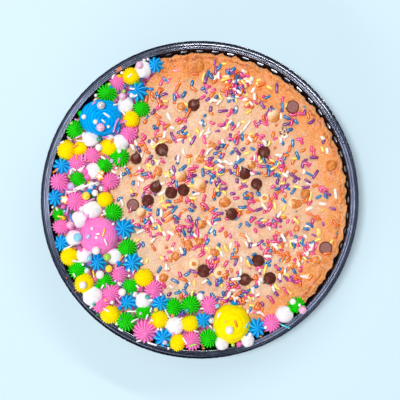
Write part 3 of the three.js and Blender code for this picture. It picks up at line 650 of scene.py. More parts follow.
def cookie_material(name):
    """Baked dough: pale in the middle, toasted toward the edge, with fine crumb and tiny specks."""
    shader = Shader(name, (244, 206, 170), 0.7, Specular_IOR_Level=0.3)
    clouds = shader.around_zero(shader.noise(9, detail=4), 0.60)
    crumb = shader.around_zero(shader.noise(1.5, detail=4, roughness=0.75), 0.95)
    toast = shader.plus(shader.plus(shader.tone(), clouds), crumb)
    baked = shader.ramp(toast, (247, 220, 192), (240, 194, 156), (248, 185, 126), (255, 182, 112),
                        (254, 165, 90), (206, 116, 60))
    grain = shader.patches(0.7, 0.38, 0.66, roughness=0.75)
    grain = shader.times(grain, shader.spread(shader.tone(), 0.1, 0.6, 0.38, 0.85))
    baked = shader.mix(grain, baked, (212, 152, 106), "MULTIPLY")
    flecks = shader.patches(1.1, 0.60, 0.68, 0.0, 0.5, detail=2)
    baked = shader.mix(flecks, baked, (255, 232, 206))
    pink_stain = shader.patches(7, 0.52, 0.70, 0.0, 0.36)
    baked = shader.mix(pink_stain, baked, (253, 174, 168))
    grey_stain = shader.patches(9.5, 0.57, 0.72, 0.0, 0.30)
    baked = shader.mix(grey_stain, baked, (214, 206, 178))
    pores = shader.spread(shader.cells(2.2), 0.10, 0.19, 1.0, 0.0)
    shader.colour(shader.mix(shader.times(pores, 0.35), baked, (176, 104, 60)))
    shader.roughness(shader.patches(4, 0.3, 0.7, 0.55, 0.85))
    shader.relief(shader.noise(0.9, detail=4, roughness=0.75), 0.55)
    shader.relief(shader.cells(1.8), 0.22)
    return shader.material


def tin_material():
    """Dark lacquered steel: a satin metal under a clear coat, worn bright at its scuffs. Tone is how
    bright, as worn metal or painted highlight, and below 0 how matt it is; fold is how dark, as painted
    shade."""
    shader = Shader("tin", (110, 118, 146), 0.3, Coat_Roughness=0.05, Coat_IOR=1.7,
                    Specular_IOR_Level=0.5, Metallic=0.92)
    lacquer = shader.mix(shader.patches(20, 0.35, 0.68), (88, 95, 117), (112, 120, 146))
    # Fold paints the lacquer near black: painted shade on the inner wall, the lip and the lower left side
    lacquer = shader.mix(shader.fold(), lacquer, (24, 28, 46))
    # Tone paints it light: worn metal and painted highlights
    shader.colour(shader.mix(shader.spread(shader.tone(), 0.15, 0.8), lacquer, (244, 244, 255)))
    matt = shader.spread(shader.tone(), -0.6, 0.0, 1.0, 0.0)
    coat = shader.spread(shader.fold(), 0.0, 1.0, 0.8, 0.0)
    coat = shader.times(coat, shader.spread(shader.tone(), -0.6, 0.0, 0.1, 1.0))
    shader.feed(shader.surface, Coat_Weight=coat)
    shader.roughness(shader.plus(shader.patches(7, 0.3, 0.7, 0.17, 0.25), shader.times(matt, 0.26)))
    shader.relief(shader.noise(5, detail=2), 0.01)
    return shader.material


# ---------------------------------------------------------------- the tin

def wall_radius(height):
    """Inner radius of the wall between two flutes."""
    return MOUTH_RADIUS - WALL_SLOPE * (MOUTH_LEVEL - height)


# The lip rolled out round the bead, as how far inside the rim's radius and below its top, and how worn.
# From its foot outward it is painted dark, as shade under the rolled edge.
LIP_LINE = [
    (4.6, 3, 0), (3, 2.9, 0), (0.5, 3.1, 0.3), (-0.2, 3.05, 1), (-0.4, 2.6, 1), (-0.3, 2.15, 1),
    (0.1, 2, 0.9), (0.5, 2.2, 0.2), (1, 2.6, 0), (1.25, 2.55, 0),
]
LIP_FOOT, LIP_SHADE = 1.3, 0.85
LIP_WRINKLE, LIP_WAVE = 0.16, 0.12
# The bead with its three ridges, from the lip to the wall, as how far inside the rim and below its top
BEAD_LINE = [
    (1.4, 2.1), (1.45, 1.3), (1.6, 0.85), (2.15, 0.55), (2.7, 0.26), (3.05, 0.16), (3.4, 0.28),
    (3.8, 0.52), (4.05, 0.62), (4.45, 0.4), (4.8, 0.22), (5.02, 0.13), (5.3, 0.34), (5.5, 0.4),
    (5.7, 0.3), (5.9, 0.2), (6.1, 0.26), (6.26, 0.8), (6.34, 1.5), (6.45, 2.1),
]
# Rings of the bead that carry painted highlight lines and speckled scuffs, where its mouth carries a
# painted glint, and the first one of the inner wall, all as how far inside the rim
BRIGHT_LINES = (2.15, 2.7, 4.45, 4.8, 5.9)
MOUTH_LINES = (5.9, 6.1)
INNER_WALL = 6.26
# Levels where the flutes begin, are full, fade and end, on the outside and the inside
FLUTES_OUTSIDE = (CORNER_HEIGHT, 6, 26.2, 28.8)
FLUTES_INSIDE = (CORNER_HEIGHT, 6, 27.9, 29.5)


def tin_profile():
    """Rings of the tin from the middle of its underside to the middle of its floor.
    Each is radius, height, how far the flutes are formed and how worn the metal is."""
    outside = wall_radius(0) + SHEET
    corner = outside + WALL_SLOPE * CORNER_HEIGHT - FLOOR_RADIUS
    rows = [(40, 0, 0, 0), (80, 0, 0, 0)]
    for turn in np.linspace(0, math.pi / 2, 7):
        height = CORNER_HEIGHT * (1 - math.cos(turn))
        rows.append((FLOOR_RADIUS + corner * math.sin(turn), height, 0, 0))
    for height in np.linspace(CORNER_HEIGHT + 0.6, 28.6, 15):
        rows.append((outside + WALL_SLOPE * height, height, stretch(height, *FLUTES_OUTSIDE), 0))
    rows += [(RIM_RADIUS - inward, RIM_TOP - below, 0, worn) for inward, below, worn in LIP_LINE]
    rows += [(RIM_RADIUS - inward, RIM_TOP - below, 0, 0) for inward, below in BEAD_LINE]
    for height in [*np.linspace(29.6, 27.6, 9), *np.linspace(26, 5, 11)]:
        rows.append((wall_radius(height), height, stretch(height, *FLUTES_INSIDE), 0))
    floor = [(FLOOR_RADIUS + 4.4, 2.6), (FLOOR_RADIUS + 2.9, 1.4), (FLOOR_RADIUS, SHEET), (50, SHEET)]
    return rows + [(radius, height, 0, 0) for radius, height in floor]


def bead_sheen(radius, angle, direction):
    """How much painted highlight and how many scuffs lie along one of the bead's rings."""
    rim_sheen = 0 * angle
    inward = round(RIM_RADIUS - radius, 2)
    if inward in BRIGHT_LINES:
        streaks = soft_noise(angle * 30, radius, 1.0, 7)
        scuffs = smoothstep(0.35, 0.8, soft_noise(angle * 150, radius * 1.7, 1.0, 14))
        rim_sheen = 0.5 * stretch(direction, *LIT_BEAD) * (1 + 0.15 * streaks)
        rim_sheen = rim_sheen + 0.8 * stretch(direction, *SPECKLED) * scuffs
    if inward in MOUTH_LINES:
        rim_sheen = rim_sheen + stretch(direction, *MOUTH_GLINT)
    return rim_sheen


def build_tin():
    """Tone lightens the metal where it is worn and where highlights are painted, or makes it matt;
    fold paints shade on its inner wall, its lip and its lower left side.
    """
    angle = even_angles(POINTS_PER_FLUTE * FLUTES)
    wave = flute_wave(angle)
    direction = in_degrees(angle)
    scuff_and_sheen = stretch(direction, *SCUFF_AND_SHEEN)
    shaded_side = SHADED_SIDE_SHARE * stretch(direction, *SHADED_SIDE)
    matt = stretch(direction, *MATT_RIGHT) + MATT_LEFT_SHARE * stretch(direction % 360, *MATT_LEFT)
    lit = stretch(direction, *LIT_FLUTES) * (0.8 + 0.3 * soft_noise(angle * 20, 0, 1.0, 6))
    rings, tones, folds = [], [0.0], [0.0]
    inside = False
    for radius, height, flute, worn in tin_profile():
        inside = inside or round(RIM_RADIUS - radius, 2) == INNER_WALL
        rim_sheen = bead_sheen(radius, angle, direction)
        wrinkle = soft_noise(angle * 90, height, 1.0, 5)
        wear_and_sheen = 0.7 * worn * (0.4 + 0.6 * wrinkle) * scuff_and_sheen * (1 - 0.6 * matt)
        # Painted highlights on the flute ends, on the side where they would catch the light
        shine = 1.2 * inside * smoothstep(0.5, 0.92, wave) * bump(height, FLUTE_SHINE, 0.36) * lit
        tones.extend(wear_and_sheen + shine + rim_sheen - 0.6 * matt * (not inside) * (rim_sheen < 0.2))
        # The inner wall and the lip are painted dark, as shade
        dark = 1.0 if inside else LIP_SHADE if RIM_RADIUS - radius < LIP_FOOT else 0.0
        folds.extend(np.maximum(dark, shaded_side))
        distance = radius - FLUTE_DEPTH * flute * wave + LIP_WRINKLE * worn * (wrinkle - 0.5)
        rings.append(circle(distance, angle, height + LIP_WAVE * worn * np.roll(wrinkle, 3)))
    heap = Heap()
    heap.add(capped(np.array(rings), (0, 0, 0), (0, 0, SHEET)), tones + [0.0], folds + [0.0])
    return make_piece("tin_body", heap, tin_material(), ["tin"])


# ---------------------------------------------------------------- the cookie

def cookie_top(x, y):
    """Height of the cookie's top, as the solid has it."""
    x, y = np.asarray(x, float), np.asarray(y, float)
    distance = np.hypot(x, y)
    direction = np.arctan2(y, x) / DEGREE
    bare = stretch(direction, *BARE_EDGE)
    middle = 1 - smoothstep(MIDDLE_INNER, MIDDLE_OUTER, distance)
    lumps = 0
    for along_x, along_y, phase in LUMP_WAVES:
        lumps = lumps + (1 + np.sin(along_x * x + along_y * y + phase)) / (2 * len(LUMP_WAVES))
    lip = LIP * smoothstep(LIP_INNER, LIP_OUTER, distance) * bare
    edge = EDGE_DROP * smoothstep(EDGE_INNER, EDGE_OUTER, distance) ** 2
    return COOKIE_LEVEL + LUMP * lumps * np.maximum(bare, middle) + lip - edge


# Where the browned flap's step runs: direction in degrees, distance from the middle
STEP_LINE = [(80, 107), (83, 105), (92.4, 94), (100.2, 90.4), (114.7, 98), (118, 107)]


def past_step(x, y):
    """How far a place lies past the step of the browned flap at the far edge, from 0 to 1."""
    direction = np.arctan2(y, x) / DEGREE
    line = np.interp(direction, *zip(*STEP_LINE))
    wobble = 1.2 * soft_noise(x, y, 5, 3)
    return smoothstep(-0.8, 0.8, np.hypot(x, y) - line + wobble) * stretch(direction, *BROWNED_FLAP)


def all_chips():
    """Every chip as x, y, long radius, short radius and turn."""
    chips = [(x, y, r, r, 0) for x, y, r in STANDING_CHOC_CHIPS + FLAT_CHOC_CHIPS]
    chips += [(x, y, r, r, 0) for x, y, r, _ in LEANING_CHOC_CHIPS + STANDING_TAN_CHIPS]
    return chips + [(x, y, a, b, turn * DEGREE) for x, y, a, b, turn in LYING_TAN_CHIPS]


# Small lumps of dough: x, y, radius, rise
DOUGH_LUMPS = [
    (47.5, 48.5, 3, 0.9), (11, 60, 4, 0.5), (60, 40, 4, 0.4), (-24, 52, 5, 0.5), (30, -24, 5, 0.5),
    (-10, -8, 5, 0.4), (62, -24, 4, 0.5), (-38, -34, 5, 0.4), (10, 80, 4, 0.4), (88, 18, 4, 0.5),
]


def crevice(x, y):
    """The broken groove just inside the edge, from 0 to 1."""
    line = GROOVE_RADIUS + 0.9 * soft_noise(x, y, 8, 27)
    broken = smoothstep(-0.05, 0.6, soft_noise(x, y, 7, 28))
    return bump(np.hypot(x, y), line, 0.55) * broken


def fine_top(x, y):
    """The solid's top with the lumps, cracks and chip seats that show."""
    height = cookie_top(x, y) + STEP_HEIGHT * past_step(x, y)
    rim = smoothstep(92, 106, np.hypot(x, y))
    height += 0.42 * soft_noise(x, y, 7, 11) + 0.30 * soft_noise(x, y, 3.2, 12)
    height += (0.16 + 0.30 * rim) * soft_noise(x, y, 1.6, 13)
    for cx, cy, radius, rise in DOUGH_LUMPS:
        height += rise * np.exp(-((x - cx) ** 2 + (y - cy) ** 2) / radius ** 2)
    height -= 0.3 * smoothstep(0.5, 0.8, soft_noise(x, y, 2.6, 17))
    height -= GROOVE_DEPTH * crevice(x, y)
    height += bump(np.hypot(x, y), CREST_RADIUS, 1) * (0.5 + 0.8 * soft_noise(x, y, 3.5, 18))
    for cx, cy, long, short, turn in all_chips():
        near = (np.abs(x - cx) < CHIP_REACH) & (np.abs(y - cy) < CHIP_REACH)
        dx, dy = x[near] - cx, y[near] - cy
        u = (dx * math.cos(turn) + dy * math.sin(turn)) / long
        v = (dy * math.cos(turn) - dx * math.sin(turn)) / short
        share = np.hypot(u, v)
        height[near] += COLLAR_HEIGHT * bump(share, 1.22, 0.16)
        height[near] -= SEAT_DEPTH * (1 - smoothstep(0.75, 1.02, share))
    return height


# Where the dough begins to brown: direction in degrees, distance from the middle
TOAST_FROM = [(-180, 98), (-95, 94), (-60, 84), (-30, 84), (0, 88), (30, 88), (60, 80), (85, 84),
              (100, 86), (115, 84), (180, 98)]


def toasting(x, y):
    """How brown the dough is, from 0 to 1: the edge at the top and the right most of all. The broken groove
    is browner, partly as painted shade, and the pale line by the edge is partly a painted highlight.
    """
    distance = np.hypot(x, y)
    direction = np.arctan2(y, x) / DEGREE
    start = np.interp(direction, *zip(*TOAST_FROM))
    toast = 0.10 + 0.50 * smoothstep(0, 17, distance - start + 3 * soft_noise(x, y, 9, 21))
    toast += 0.10 * past_step(x, y) + 0.10 * smoothstep(40, 85, distance) * smoothstep(-70, 20, direction)
    # Browner along the groove, partly painted shade
    toast += 0.12 * bump(distance, GROOVE_RADIUS - 0.1, 1.2) * (0.5 + 0.5 * soft_noise(x, y, 2.0, 22))
    # The pale line by the edge: paler skin and a painted highlight
    toast -= 0.34 * bump(distance, PALE_RADIUS, 1) * (0.7 + 0.5 * soft_noise(x, y, 2.4, 26))
    toast += 0.22 * smoothstep(0.3, 0.8, soft_noise(x, y, 2.4, 23)) * smoothstep(100, 109, distance)
    # The crevice adds more painted shade
    toast += 0.06 * soft_noise(x, y, 13, 24) + 0.45 * crevice(x, y)
    return toast


def top_places():
    """x and y of the top's points, ring by ring; the edge is crimped and ragged."""
    xs, ys = [np.zeros(1)], [np.zeros(1)]
    for ring in range(1, COOKIE_RINGS + 1):
        angle = even_angles(RING_STEP * ring)
        share = ring / COOKIE_RINGS
        wider = stretch(in_degrees(angle), *WIDER_EDGE)
        crimp = COOKIE_CRIMP * smoothstep(0.93, 1.0, share) * flute_wave(angle) * (1 - 0.4 * wider)
        ragged = 0.5 * soft_noise(angle * 110, 0, 3.4, 8) + 0.6 * soft_noise(angle * 110, 1, 1.3, 9)
        radius = (COOKIE_EDGE + COOKIE_WIDER * wider) * share - crimp
        x, y = polar(radius + smoothstep(0.95, 1.0, share) * ragged, angle)
        xs.append(x)
        ys.append(y)
    return np.concatenate(xs), np.concatenate(ys)


def top_faces():
    """The triangles between the rings, sector by sector."""
    faces = []
    inner, outer = 0, 1
    for ring in range(1, COOKIE_RINGS + 1):
        inside, outside = max(RING_STEP * (ring - 1), 1), RING_STEP * ring
        for place in range(outside):
            sector, step = divmod(place, ring)
            within = sector * (ring - 1) + step
            here, there = outer + place, outer + (place + 1) % outside
            faces.append((here, there, inner + within % inside))
            if step < ring - 1:
                faces.append((there, inner + (within + 1) % inside, inner + within % inside))
        inner, outer = outer, outer + outside
    return faces


def build_cookie():
    """The top, the fluted side and the flat underside."""
    x, y = top_places()
    around = RING_STEP * COOKIE_RINGS
    angle = even_angles(around)
    rings = [points(x, y, fine_top(x, y))]
    for height in COOKIE_SIDE:
        radius = wall_radius(height) - COOKIE_CLEAR - FLUTE_DEPTH * flute_wave(angle)
        rings.append(circle(radius, angle, height))
    rings.append(circle(COOKIE_FOOT, angle, COOKIE_UNDERSIDE))
    vertices = np.concatenate(rings + [[(0, 0, COOKIE_UNDERSIDE)]])
    # The side takes the darkest toast: its browning and painted shade in the narrow gap by the wall
    tones = [*toasting(x, y)] + [1.0] * around * len(COOKIE_SIDE) + [0.7] * (around + 1)
    faces = top_faces()
    pole = len(vertices) - 1
    pairs = [(k, (k + 1) % around) for k in range(around)]
    for high in range(len(x) - around, pole - around, around):
        low = high + around
        faces += [(high + k, low + k, low + n, high + n) for k, n in pairs]
    faces += [(pole - around + n, pole - around + k, pole) for k, n in pairs]
    heap = Heap()
    heap.add((vertices, faces), tones)
    make_piece("cookie_body", heap, cookie_material("cookie"), ["cookie"])


# ---------------------------------------------------------------- chips

def on_cookie(x, y):
    """A place on the cookie's top."""
    return x, y, float(cookie_top(x, y))


MOUND_SIDES = 26


def mound(place, radii, turn, profile, rough, seed, tip=(0, 0)):
    """A closed drop on an upright axis; profile is share of the radius, height, and for one that
    leans how far its middle has moved toward the tip."""
    rows = rounded([(*row, 0)[:3] for row in profile], 3)
    angle = even_angles(MOUND_SIDES)
    middles = [(place[0] + tip[0] * lean, place[1] + tip[1] * lean, place[2] + height)
               for _, height, lean in rows]
    grid = []
    for (share, height, _), (x, y, level) in zip(rows[1:-1], middles[1:-1]):
        wobble = soft_noise(np.cos(angle) * 2 + place[0], np.sin(angle) * 2 + height * 0.6, 1.0, seed)
        reach = max(share, 0.01) * (1 + rough * wobble)
        u, v = radii[0] * reach * np.cos(angle), radii[1] * reach * np.sin(angle)
        grid.append(points(x + u * math.cos(turn) - v * math.sin(turn),
                           y + u * math.sin(turn) + v * math.cos(turn), level))
    return capped(np.array(grid), middles[0], middles[-1])


# Side views of a standing, a leaning, a flat and a half-buried chip, as profiles for mound
CHIP_FOOT = -2
DROP = [(0, CHIP_FOOT), (0.8, CHIP_FOOT), (0.99, -0.4), (0.97, 1.1), (0.76, 2.7), (0.42, 3.9),
        (0.16, 4.6), (0, 4.95)]
LEANING = [(0, CHIP_FOOT), (0.8, CHIP_FOOT), (1, 0.1), (0.96, 1.6, 0.02), (0.76, 3.0, 0.10),
           (0.46, 3.7, 0.34), (0.22, 3.6, 0.68), (0.08, 3.3, 0.94), (0, 3.15, 1)]
DISC = [(0, CHIP_FOOT), (0.84, CHIP_FOOT), (1, 0.2), (0.98, 1.05), (0.86, 1.5), (0.5, 1.42), (0, 1.5)]
BURIED = [(0, CHIP_FOOT), (0.8, CHIP_FOOT), (1, -0.1), (0.9, 0.9), (0.62, 1.75), (0.3, 2.1), (0, 2.2)]
TIP_REACH = 1.42
TAN_RISE = 0.72
TAN_DROP = [(share, height * TAN_RISE if height > 0 else height) for share, height in DROP]
# Flat chips smaller than this are broken ones that dough has run over
BROKEN_BELOW = 4


def chip_names(kind, *lists):
    """The solids' names of all chips in some lists."""
    return [f"{kind}_{number:02d}" for number in range(1, sum(map(len, lists)) + 1)]


def outward_and_lit(body, x, y, radius):
    """How far out each point of a chip lies, and how far toward the upper left."""
    off = (body[0][:, :2] - (x, y)) / radius
    return np.hypot(off[:, 0], off[:, 1]), off[:, 1] - off[:, 0]


def build_choc_chips():
    """Tone is how dusty a chip is, and fold how much dough has run over it."""
    heap = Heap()
    for k, (x, y, r) in enumerate(STANDING_CHOC_CHIPS):
        heap.add(mound(on_cookie(x, y), (r, r), 0.2, DROP, 0.03, 30 + k), 0.1)
    for k, (x, y, r, towards) in enumerate(LEANING_CHOC_CHIPS):
        turn = towards * DEGREE
        tip = polar(TIP_REACH * r, turn)
        heap.add(mound(on_cookie(x, y), (r, r), turn, LEANING, 0.03, 40 + k, tip), 0.05)
    for k, (x, y, r) in enumerate(FLAT_CHOC_CHIPS):
        body = mound(on_cookie(x, y), (r, r), 0.4, DISC, 0.02, 60 + k)
        outward, _ = outward_and_lit(body, x, y, r)
        covered = 1 if r < BROKEN_BELOW else 0
        heap.add(body, (1 - smoothstep(0.78, 0.95, outward)) * (1 - 0.8 * covered), covered)
    names = chip_names("choc_chip", STANDING_CHOC_CHIPS, LEANING_CHOC_CHIPS, FLAT_CHOC_CHIPS)
    make_piece("chips_chocolate", heap, chocolate_material(), names)


def build_tan_chips():
    """Tone is how much dough has run over a point, and on most chips it also grows toward the upper
    left as a painted highlight.
    """
    heap = Heap()
    for k, (x, y, r, covered) in enumerate(STANDING_TAN_CHIPS):
        body = mound(on_cookie(x, y), (r, r), 0.1, TAN_DROP, 0.09, 70 + k)
        outward, lit = outward_and_lit(body, x, y, r)
        # Partly covered chips are painted lighter toward the upper left, as a highlight
        tone = smoothstep(0.30, 0.52, outward) if covered == 1 else covered * (0.9 + 0.45 * lit)
        heap.add(body, np.clip(tone, 0, 1))
    for k, (x, y, long, short, towards) in enumerate(LYING_TAN_CHIPS):
        body = mound(on_cookie(x, y), (long, short), towards * DEGREE, BURIED, 0.10, 90 + k)
        outward, lit = outward_and_lit(body, x, y, long)
        patch = soft_noise(body[0][:, 0], body[0][:, 1], 2.2, 120 + k)
        # Lying chips are also painted lighter toward the upper left, as a highlight
        heap.add(body, np.clip(0.8 * smoothstep(0.5, 0.9, outward) + 0.45 * patch + 0.3 * lit, 0, 1))
    names = chip_names("tan_chip", STANDING_TAN_CHIPS, LYING_TAN_CHIPS)
    make_piece("chips_tan", heap, tan_material(), names)


# ---------------------------------------------------------------- sprinkles

def crowding(x, y):
    """How close together the sprinkles lie at a place."""
    distance = math.hypot(x, y)
    direction = math.atan2(y, x) / DEGREE
    density = 1.0
    if distance > EDGE_BARE_FROM:
        density = EMPTY_DENSITY if direction > EMPTY_FROM else EDGE_DENSITY
    for cx, cy, spread, strength in CROWDS:
        density += strength * math.exp(-((x - cx) ** 2 + (y - cy) ** 2) / (2 * spread ** 2))
    return density


def scatter(seed, count, shortest, longer, rarity):
    """Sprinkles as x, y, length and turn, in the order of the seeded draw."""
    random = seeded_random(seed)
    placed = []
    while len(placed) < count:
        distance = SPRINKLE_FIELD * math.sqrt(random())
        direction = TURN * random()
        length = shortest + longer * random() ** rarity
        turn = math.pi * random()
        threshold = DENSEST * random()
        x, y = polar(distance, direction)
        if threshold < crowding(x, y):
            placed.append((x, y, length, turn))
    return placed


def frosting_edge(direction):
    """Distance from the middle to the frosting in a direction from 0 to 360 degrees."""
    if CRESCENT_EDGE[0][0] < direction <= CRESCENT_EDGE[-1][0]:
        return float(np.interp(direction, *zip(*CRESCENT_EDGE)))
    if TAIL_EDGE[0][0] < direction <= TAIL_EDGE[-1][0] + TAIL_PAST:
        return TAIL_INNER
    return RIM_RADIUS


# Frosting that hides sprinkles: all dollops, and the three swirls as x, y, radius
COVERING = GREEN_STARS + PINK_STARS + BLUE_STARS + YELLOW_STARS + WHITE_KISSES
COVERING += [(-75.8, 62.8, 15), (-77.3, -28, 14.4), (24.2, -95.2, 14.6)]
# A sprinkle is hidden when its middle lies so far inside the base or a dollop, or within this share
# of a chip's radius
BASE_OUTLINE, DOLLOP_OUTLINE = 1, 1.2
HIDING_CHIP = 0.8


def hidden(x, y):
    """True where frosting or a chip covers a sprinkle's middle."""
    direction = math.atan2(y, x) / DEGREE % 360
    if math.hypot(x, y) > frosting_edge(direction) + BASE_OUTLINE:
        return True
    if any(math.hypot(x - cx, y - cy) < r - DOLLOP_OUTLINE for cx, cy, r in COVERING):
        return True
    return any(math.hypot(x - cx, y - cy) < HIDING_CHIP * short for cx, cy, _, short, _ in all_chips())


ROD_SIDES = 9
# A rod's round end: share of the end's length, share of the radius
ROD_END = [(0, 0.03), (0.12, 0.5), (0.45, 0.84), (1, 1)]


def rod_body(middle, length, radius, turn, pitch, bend):
    """A rod with round ends; bend is how far its middle bows sideways.
    Gives back the body, and for each point how far down its side it lies, which is painted as shade."""
    half = length / 2
    cap = radius * 0.9
    stations = [(cap * place - half, share) for place, share in ROD_END] + [(0, 1)]
    stations += [(half - cap * place, share) for place, share in reversed(ROD_END)]
    angle = even_angles(ROD_SIDES)
    along = np.array([math.cos(turn) * math.cos(pitch), math.sin(turn) * math.cos(pitch), math.sin(pitch)])
    side = np.array([-math.sin(turn), math.cos(turn), 0])
    up = np.cross(along, side)
    grid = []
    for place, share in stations:
        centre = middle + along * place + side * bend * (1 - (place / half) ** 2)
        grid.append(centre + radius * share * (np.outer(np.cos(angle), side) + np.outer(np.sin(angle), up)))
    down = np.tile(1 - smoothstep(0.25, 0.95, np.sin(angle)), len(stations))
    return capped(np.array(grid), middle - along * half, middle + along * half), [1.0, *down, 1.0]


# Sprinkle colours: the colour, a deeper one also used as painted shade, how thick they are compared with
# the rest, and their share
SPRINKLE_COLOURS = {
    "blue": ((12, 146, 210), (0, 76, 142), 1.0, 0.17),
    "pink": ((248, 96, 162), (216, 28, 102), 1.0, 0.26),
    "orange": ((248, 142, 34), (226, 86, 0), 1.0, 0.17),
    "purple": ((166, 70, 166), (96, 14, 108), 1.0, 0.15),
    "yellow": ((255, 238, 140), (250, 206, 70), 1.0, 0.12),
    "white": ((255, 252, 244), (244, 224, 206), 1.1, 0.13),
}


def pick_colour(draw):
    """The colour that a draw between 0 and 1 falls on."""
    for colour, (_, _, _, share) in SPRINKLE_COLOURS.items():
        draw -= share
        if draw < 0:
            return colour
    return "white"


# Sprinkles that stand out: x, y, length, direction in degrees, how far it bows, width, colour
SINGLE_SPRINKLES = [
    (59.7, 4.5, 15, 44, 0.3, 2, "orange"), (88, -12.5, 13.5, -27, -0.3, 2.1, "orange"),
    (66, -30.5, 13.6, 72, 1.6, 2.1, "orange"), (63, -42.6, 6.5, -14, 0.2, 2.1, "orange"),
    (68.4, -43.2, 5.4, -40, 0, 2.1, "orange"), (14.5, 4.5, 4.6, 60, 0, 3.4, "blue"),
    (16.4, 43.6, 4, 20, 0, 2.4, "blue"), (18.4, 42.6, 4, -60, 0, 2.4, "blue"),
    (17.2, 41.4, 3.6, 80, 0, 2.4, "blue"), (43, 33, 7.2, 70, 0.5, 2.3, "white"),
    (6.6, 52, 8.4, 78, 0.4, 2.4, "white"), (1.6, 51, 7, 60, 0.3, 2.4, "white"),
    (36.4, 57, 9.6, 52, 0.4, 2.3, "white"), (31, 51.2, 7, 50, 0.2, 2.3, "white"),
]
# What the draws would be for a sprinkle of middling width that lies flat on the dough
PLAIN_DRAWS = (0.5, 0.9, 0.5, 1.0)
# Sprinkles whose middles are nearer than this lie on each other, two layers deep at most
TOUCHING, LAYER, MOST_LAYERS = 2.4, 0.85, 2
# Short ones whose draw is below this share stand in the dough: share, length, pitch and depth
DIVING, DIVING_LENGTH, DIVING_PITCH, DIVING_DEPTH = 0.07, 7, 1.1, 0.6


def lay_sprinkle(heap, laid, place, length, turn, width, bow, sunk, draws):
    """Adds one sprinkle, a little sunk into the dough, or resting on those that lie below it."""
    thick, high, tilted, diving = draws
    x, y, level = on_cookie(*place)
    radius = 0.5 * width * (0.92 + 0.18 * thick)
    under = sum(1 for ox, oy in laid if math.hypot(x - ox, y - oy) < TOUCHING)
    laid.append(place)
    lift = radius * (0.65 * high - 0.1 - sunk) + LAYER * min(under, MOST_LAYERS)
    pitch = 0.16 * (tilted - 0.5)
    if diving < DIVING and length < DIVING_LENGTH:
        pitch, lift = DIVING_PITCH, -DIVING_DEPTH
    body, down = rod_body(np.array([x, y, level + lift]), length, radius, turn, pitch, bow)
    # The fold, how far down its side a point lies, is painted as shade
    heap.add(body, high, down)


def build_sprinkles():
    """The sprinkles that stand out first, and then the two scatters over them."""
    heaps = {colour: Heap() for colour in SPRINKLE_COLOURS}
    random = seeded_random(77)
    laid = []
    for x, y, length, towards, bow, width, colour in SINGLE_SPRINKLES:
        lay_sprinkle(heaps[colour], laid, (x, y), length, towards * DEGREE, width, bow, 0, PLAIN_DRAWS)
    for *settings, sunk in SCATTERS:
        for x, y, length, turn in scatter(*settings):
            *draws, colour_draw, bent = [random() for _ in range(6)]
            if hidden(x, y):
                continue
            colour = pick_colour(colour_draw)
            width = SPRINKLE_WIDTH * SPRINKLE_COLOURS[colour][2]
            bow = 0.35 * (bent - 0.5) * length if bent > 0.86 or bent < 0.08 else 0
            lay_sprinkle(heaps[colour], laid, (x, y), length, turn, width, bow, sunk, draws)
    for colour, heap in heaps.items():
        main, deep, _, _ = SPRINKLE_COLOURS[colour]
        material = sugar_material(f"sprinkle_{colour}", main, deep)
        make_piece(f"sprinkles_{colour}", heap, material)


# ---------------------------------------------------------------- frosting

# Side view of a dollop: share of its radius and of its height, from foot to tip
STAR_SIDE = [(0.90, 0), (0.99, 0.08), (1.0, 0.19), (0.93, 0.34), (0.79, 0.48), (0.62, 0.62),
             (0.44, 0.75), (0.27, 0.87), (0.13, 0.95), (0.05, 0.99)]
BUTTON_SIDE = [(0.90, 0), (0.99, 0.10), (1.0, 0.24), (0.96, 0.44), (0.86, 0.62), (0.70, 0.78),
               (0.48, 0.90), (0.26, 0.965), (0.10, 0.99)]
KISS_SIDE = [(0.88, 0), (0.98, 0.12), (1.0, 0.30), (0.94, 0.48), (0.80, 0.66), (0.58, 0.81),
             (0.34, 0.91), (0.14, 0.975), (0.04, 0.995)]
# A dollop has at least so many points in each rib, and in all
STEPS_PER_RIB, LEAST_AROUND = 6, 36
# How much wider its foot is than the radius in the lists
PIPED_WIDER = 1.09


def dollop(place, radius, height, side, ribs, depth, twist, seed, foot_level=COOKIE_LEVEL):
    """One piped dollop; its ribs run from the foot to the tip and turn a little on the way.
    Gives back the body with the tone and the fold of each point."""
    random = seeded_random(seed)
    start = TURN * random()
    lean = TURN * random()
    leaning = random()
    oval = 0.95 + 0.1 * random()
    steps = max(STEPS_PER_RIB, math.ceil(LEAST_AROUND / max(ribs, 1)))
    angle = even_angles(max(ribs, 1) * steps)
    groove = 1 - np.abs(2 * ((ribs * angle / TURN) % 1) - 1) if ribs else 0 * angle
    long_ribs = 1 + 0.05 * np.repeat([random() - 0.5 for _ in range(ribs)], steps) if ribs else 1

    def middle(level):
        across, up = polar(0.18 * radius * leaning * level ** 3, lean)
        return place[0] + across, place[1] + up, foot_level + height * level

    grid, tones, folds = [], [0.0], [0.0]
    for share, level in rounded(side, 2):
        uneven = 0.04 * soft_noise(np.cos(angle) * 1.6 + seed, np.sin(angle) * 1.6 + level * 2, 1.0, seed)
        reach = radius * share * (1 - depth * groove + uneven) * long_ribs
        turned = angle + start + twist * level
        x, y, z = middle(level)
        grid.append(points(x + oval * reach * np.cos(turned), y + reach / oval * np.sin(turned), z))
        tones.extend([level] * len(angle))
        folds.extend(groove)
    return capped(np.array(grid), middle(0), middle(1)), tones + [1.0], folds + [0.0]


# Each frosting colour, its painted shade for the folds and its painted highlight for the crests
FROSTING_COLOURS = {
    "green": ((0, 238, 0), (0, 146, 0), (90, 255, 60)),
    "pink": ((255, 136, 212), (244, 64, 156), (255, 184, 236)),
    "blue": ((0, 182, 255), (0, 108, 206), (80, 214, 255)),
    "yellow": ((255, 238, 0), (255, 190, 0), (255, 246, 30)),
    "white": ((244, 243, 244), (240, 232, 240), (248, 249, 249)),
}
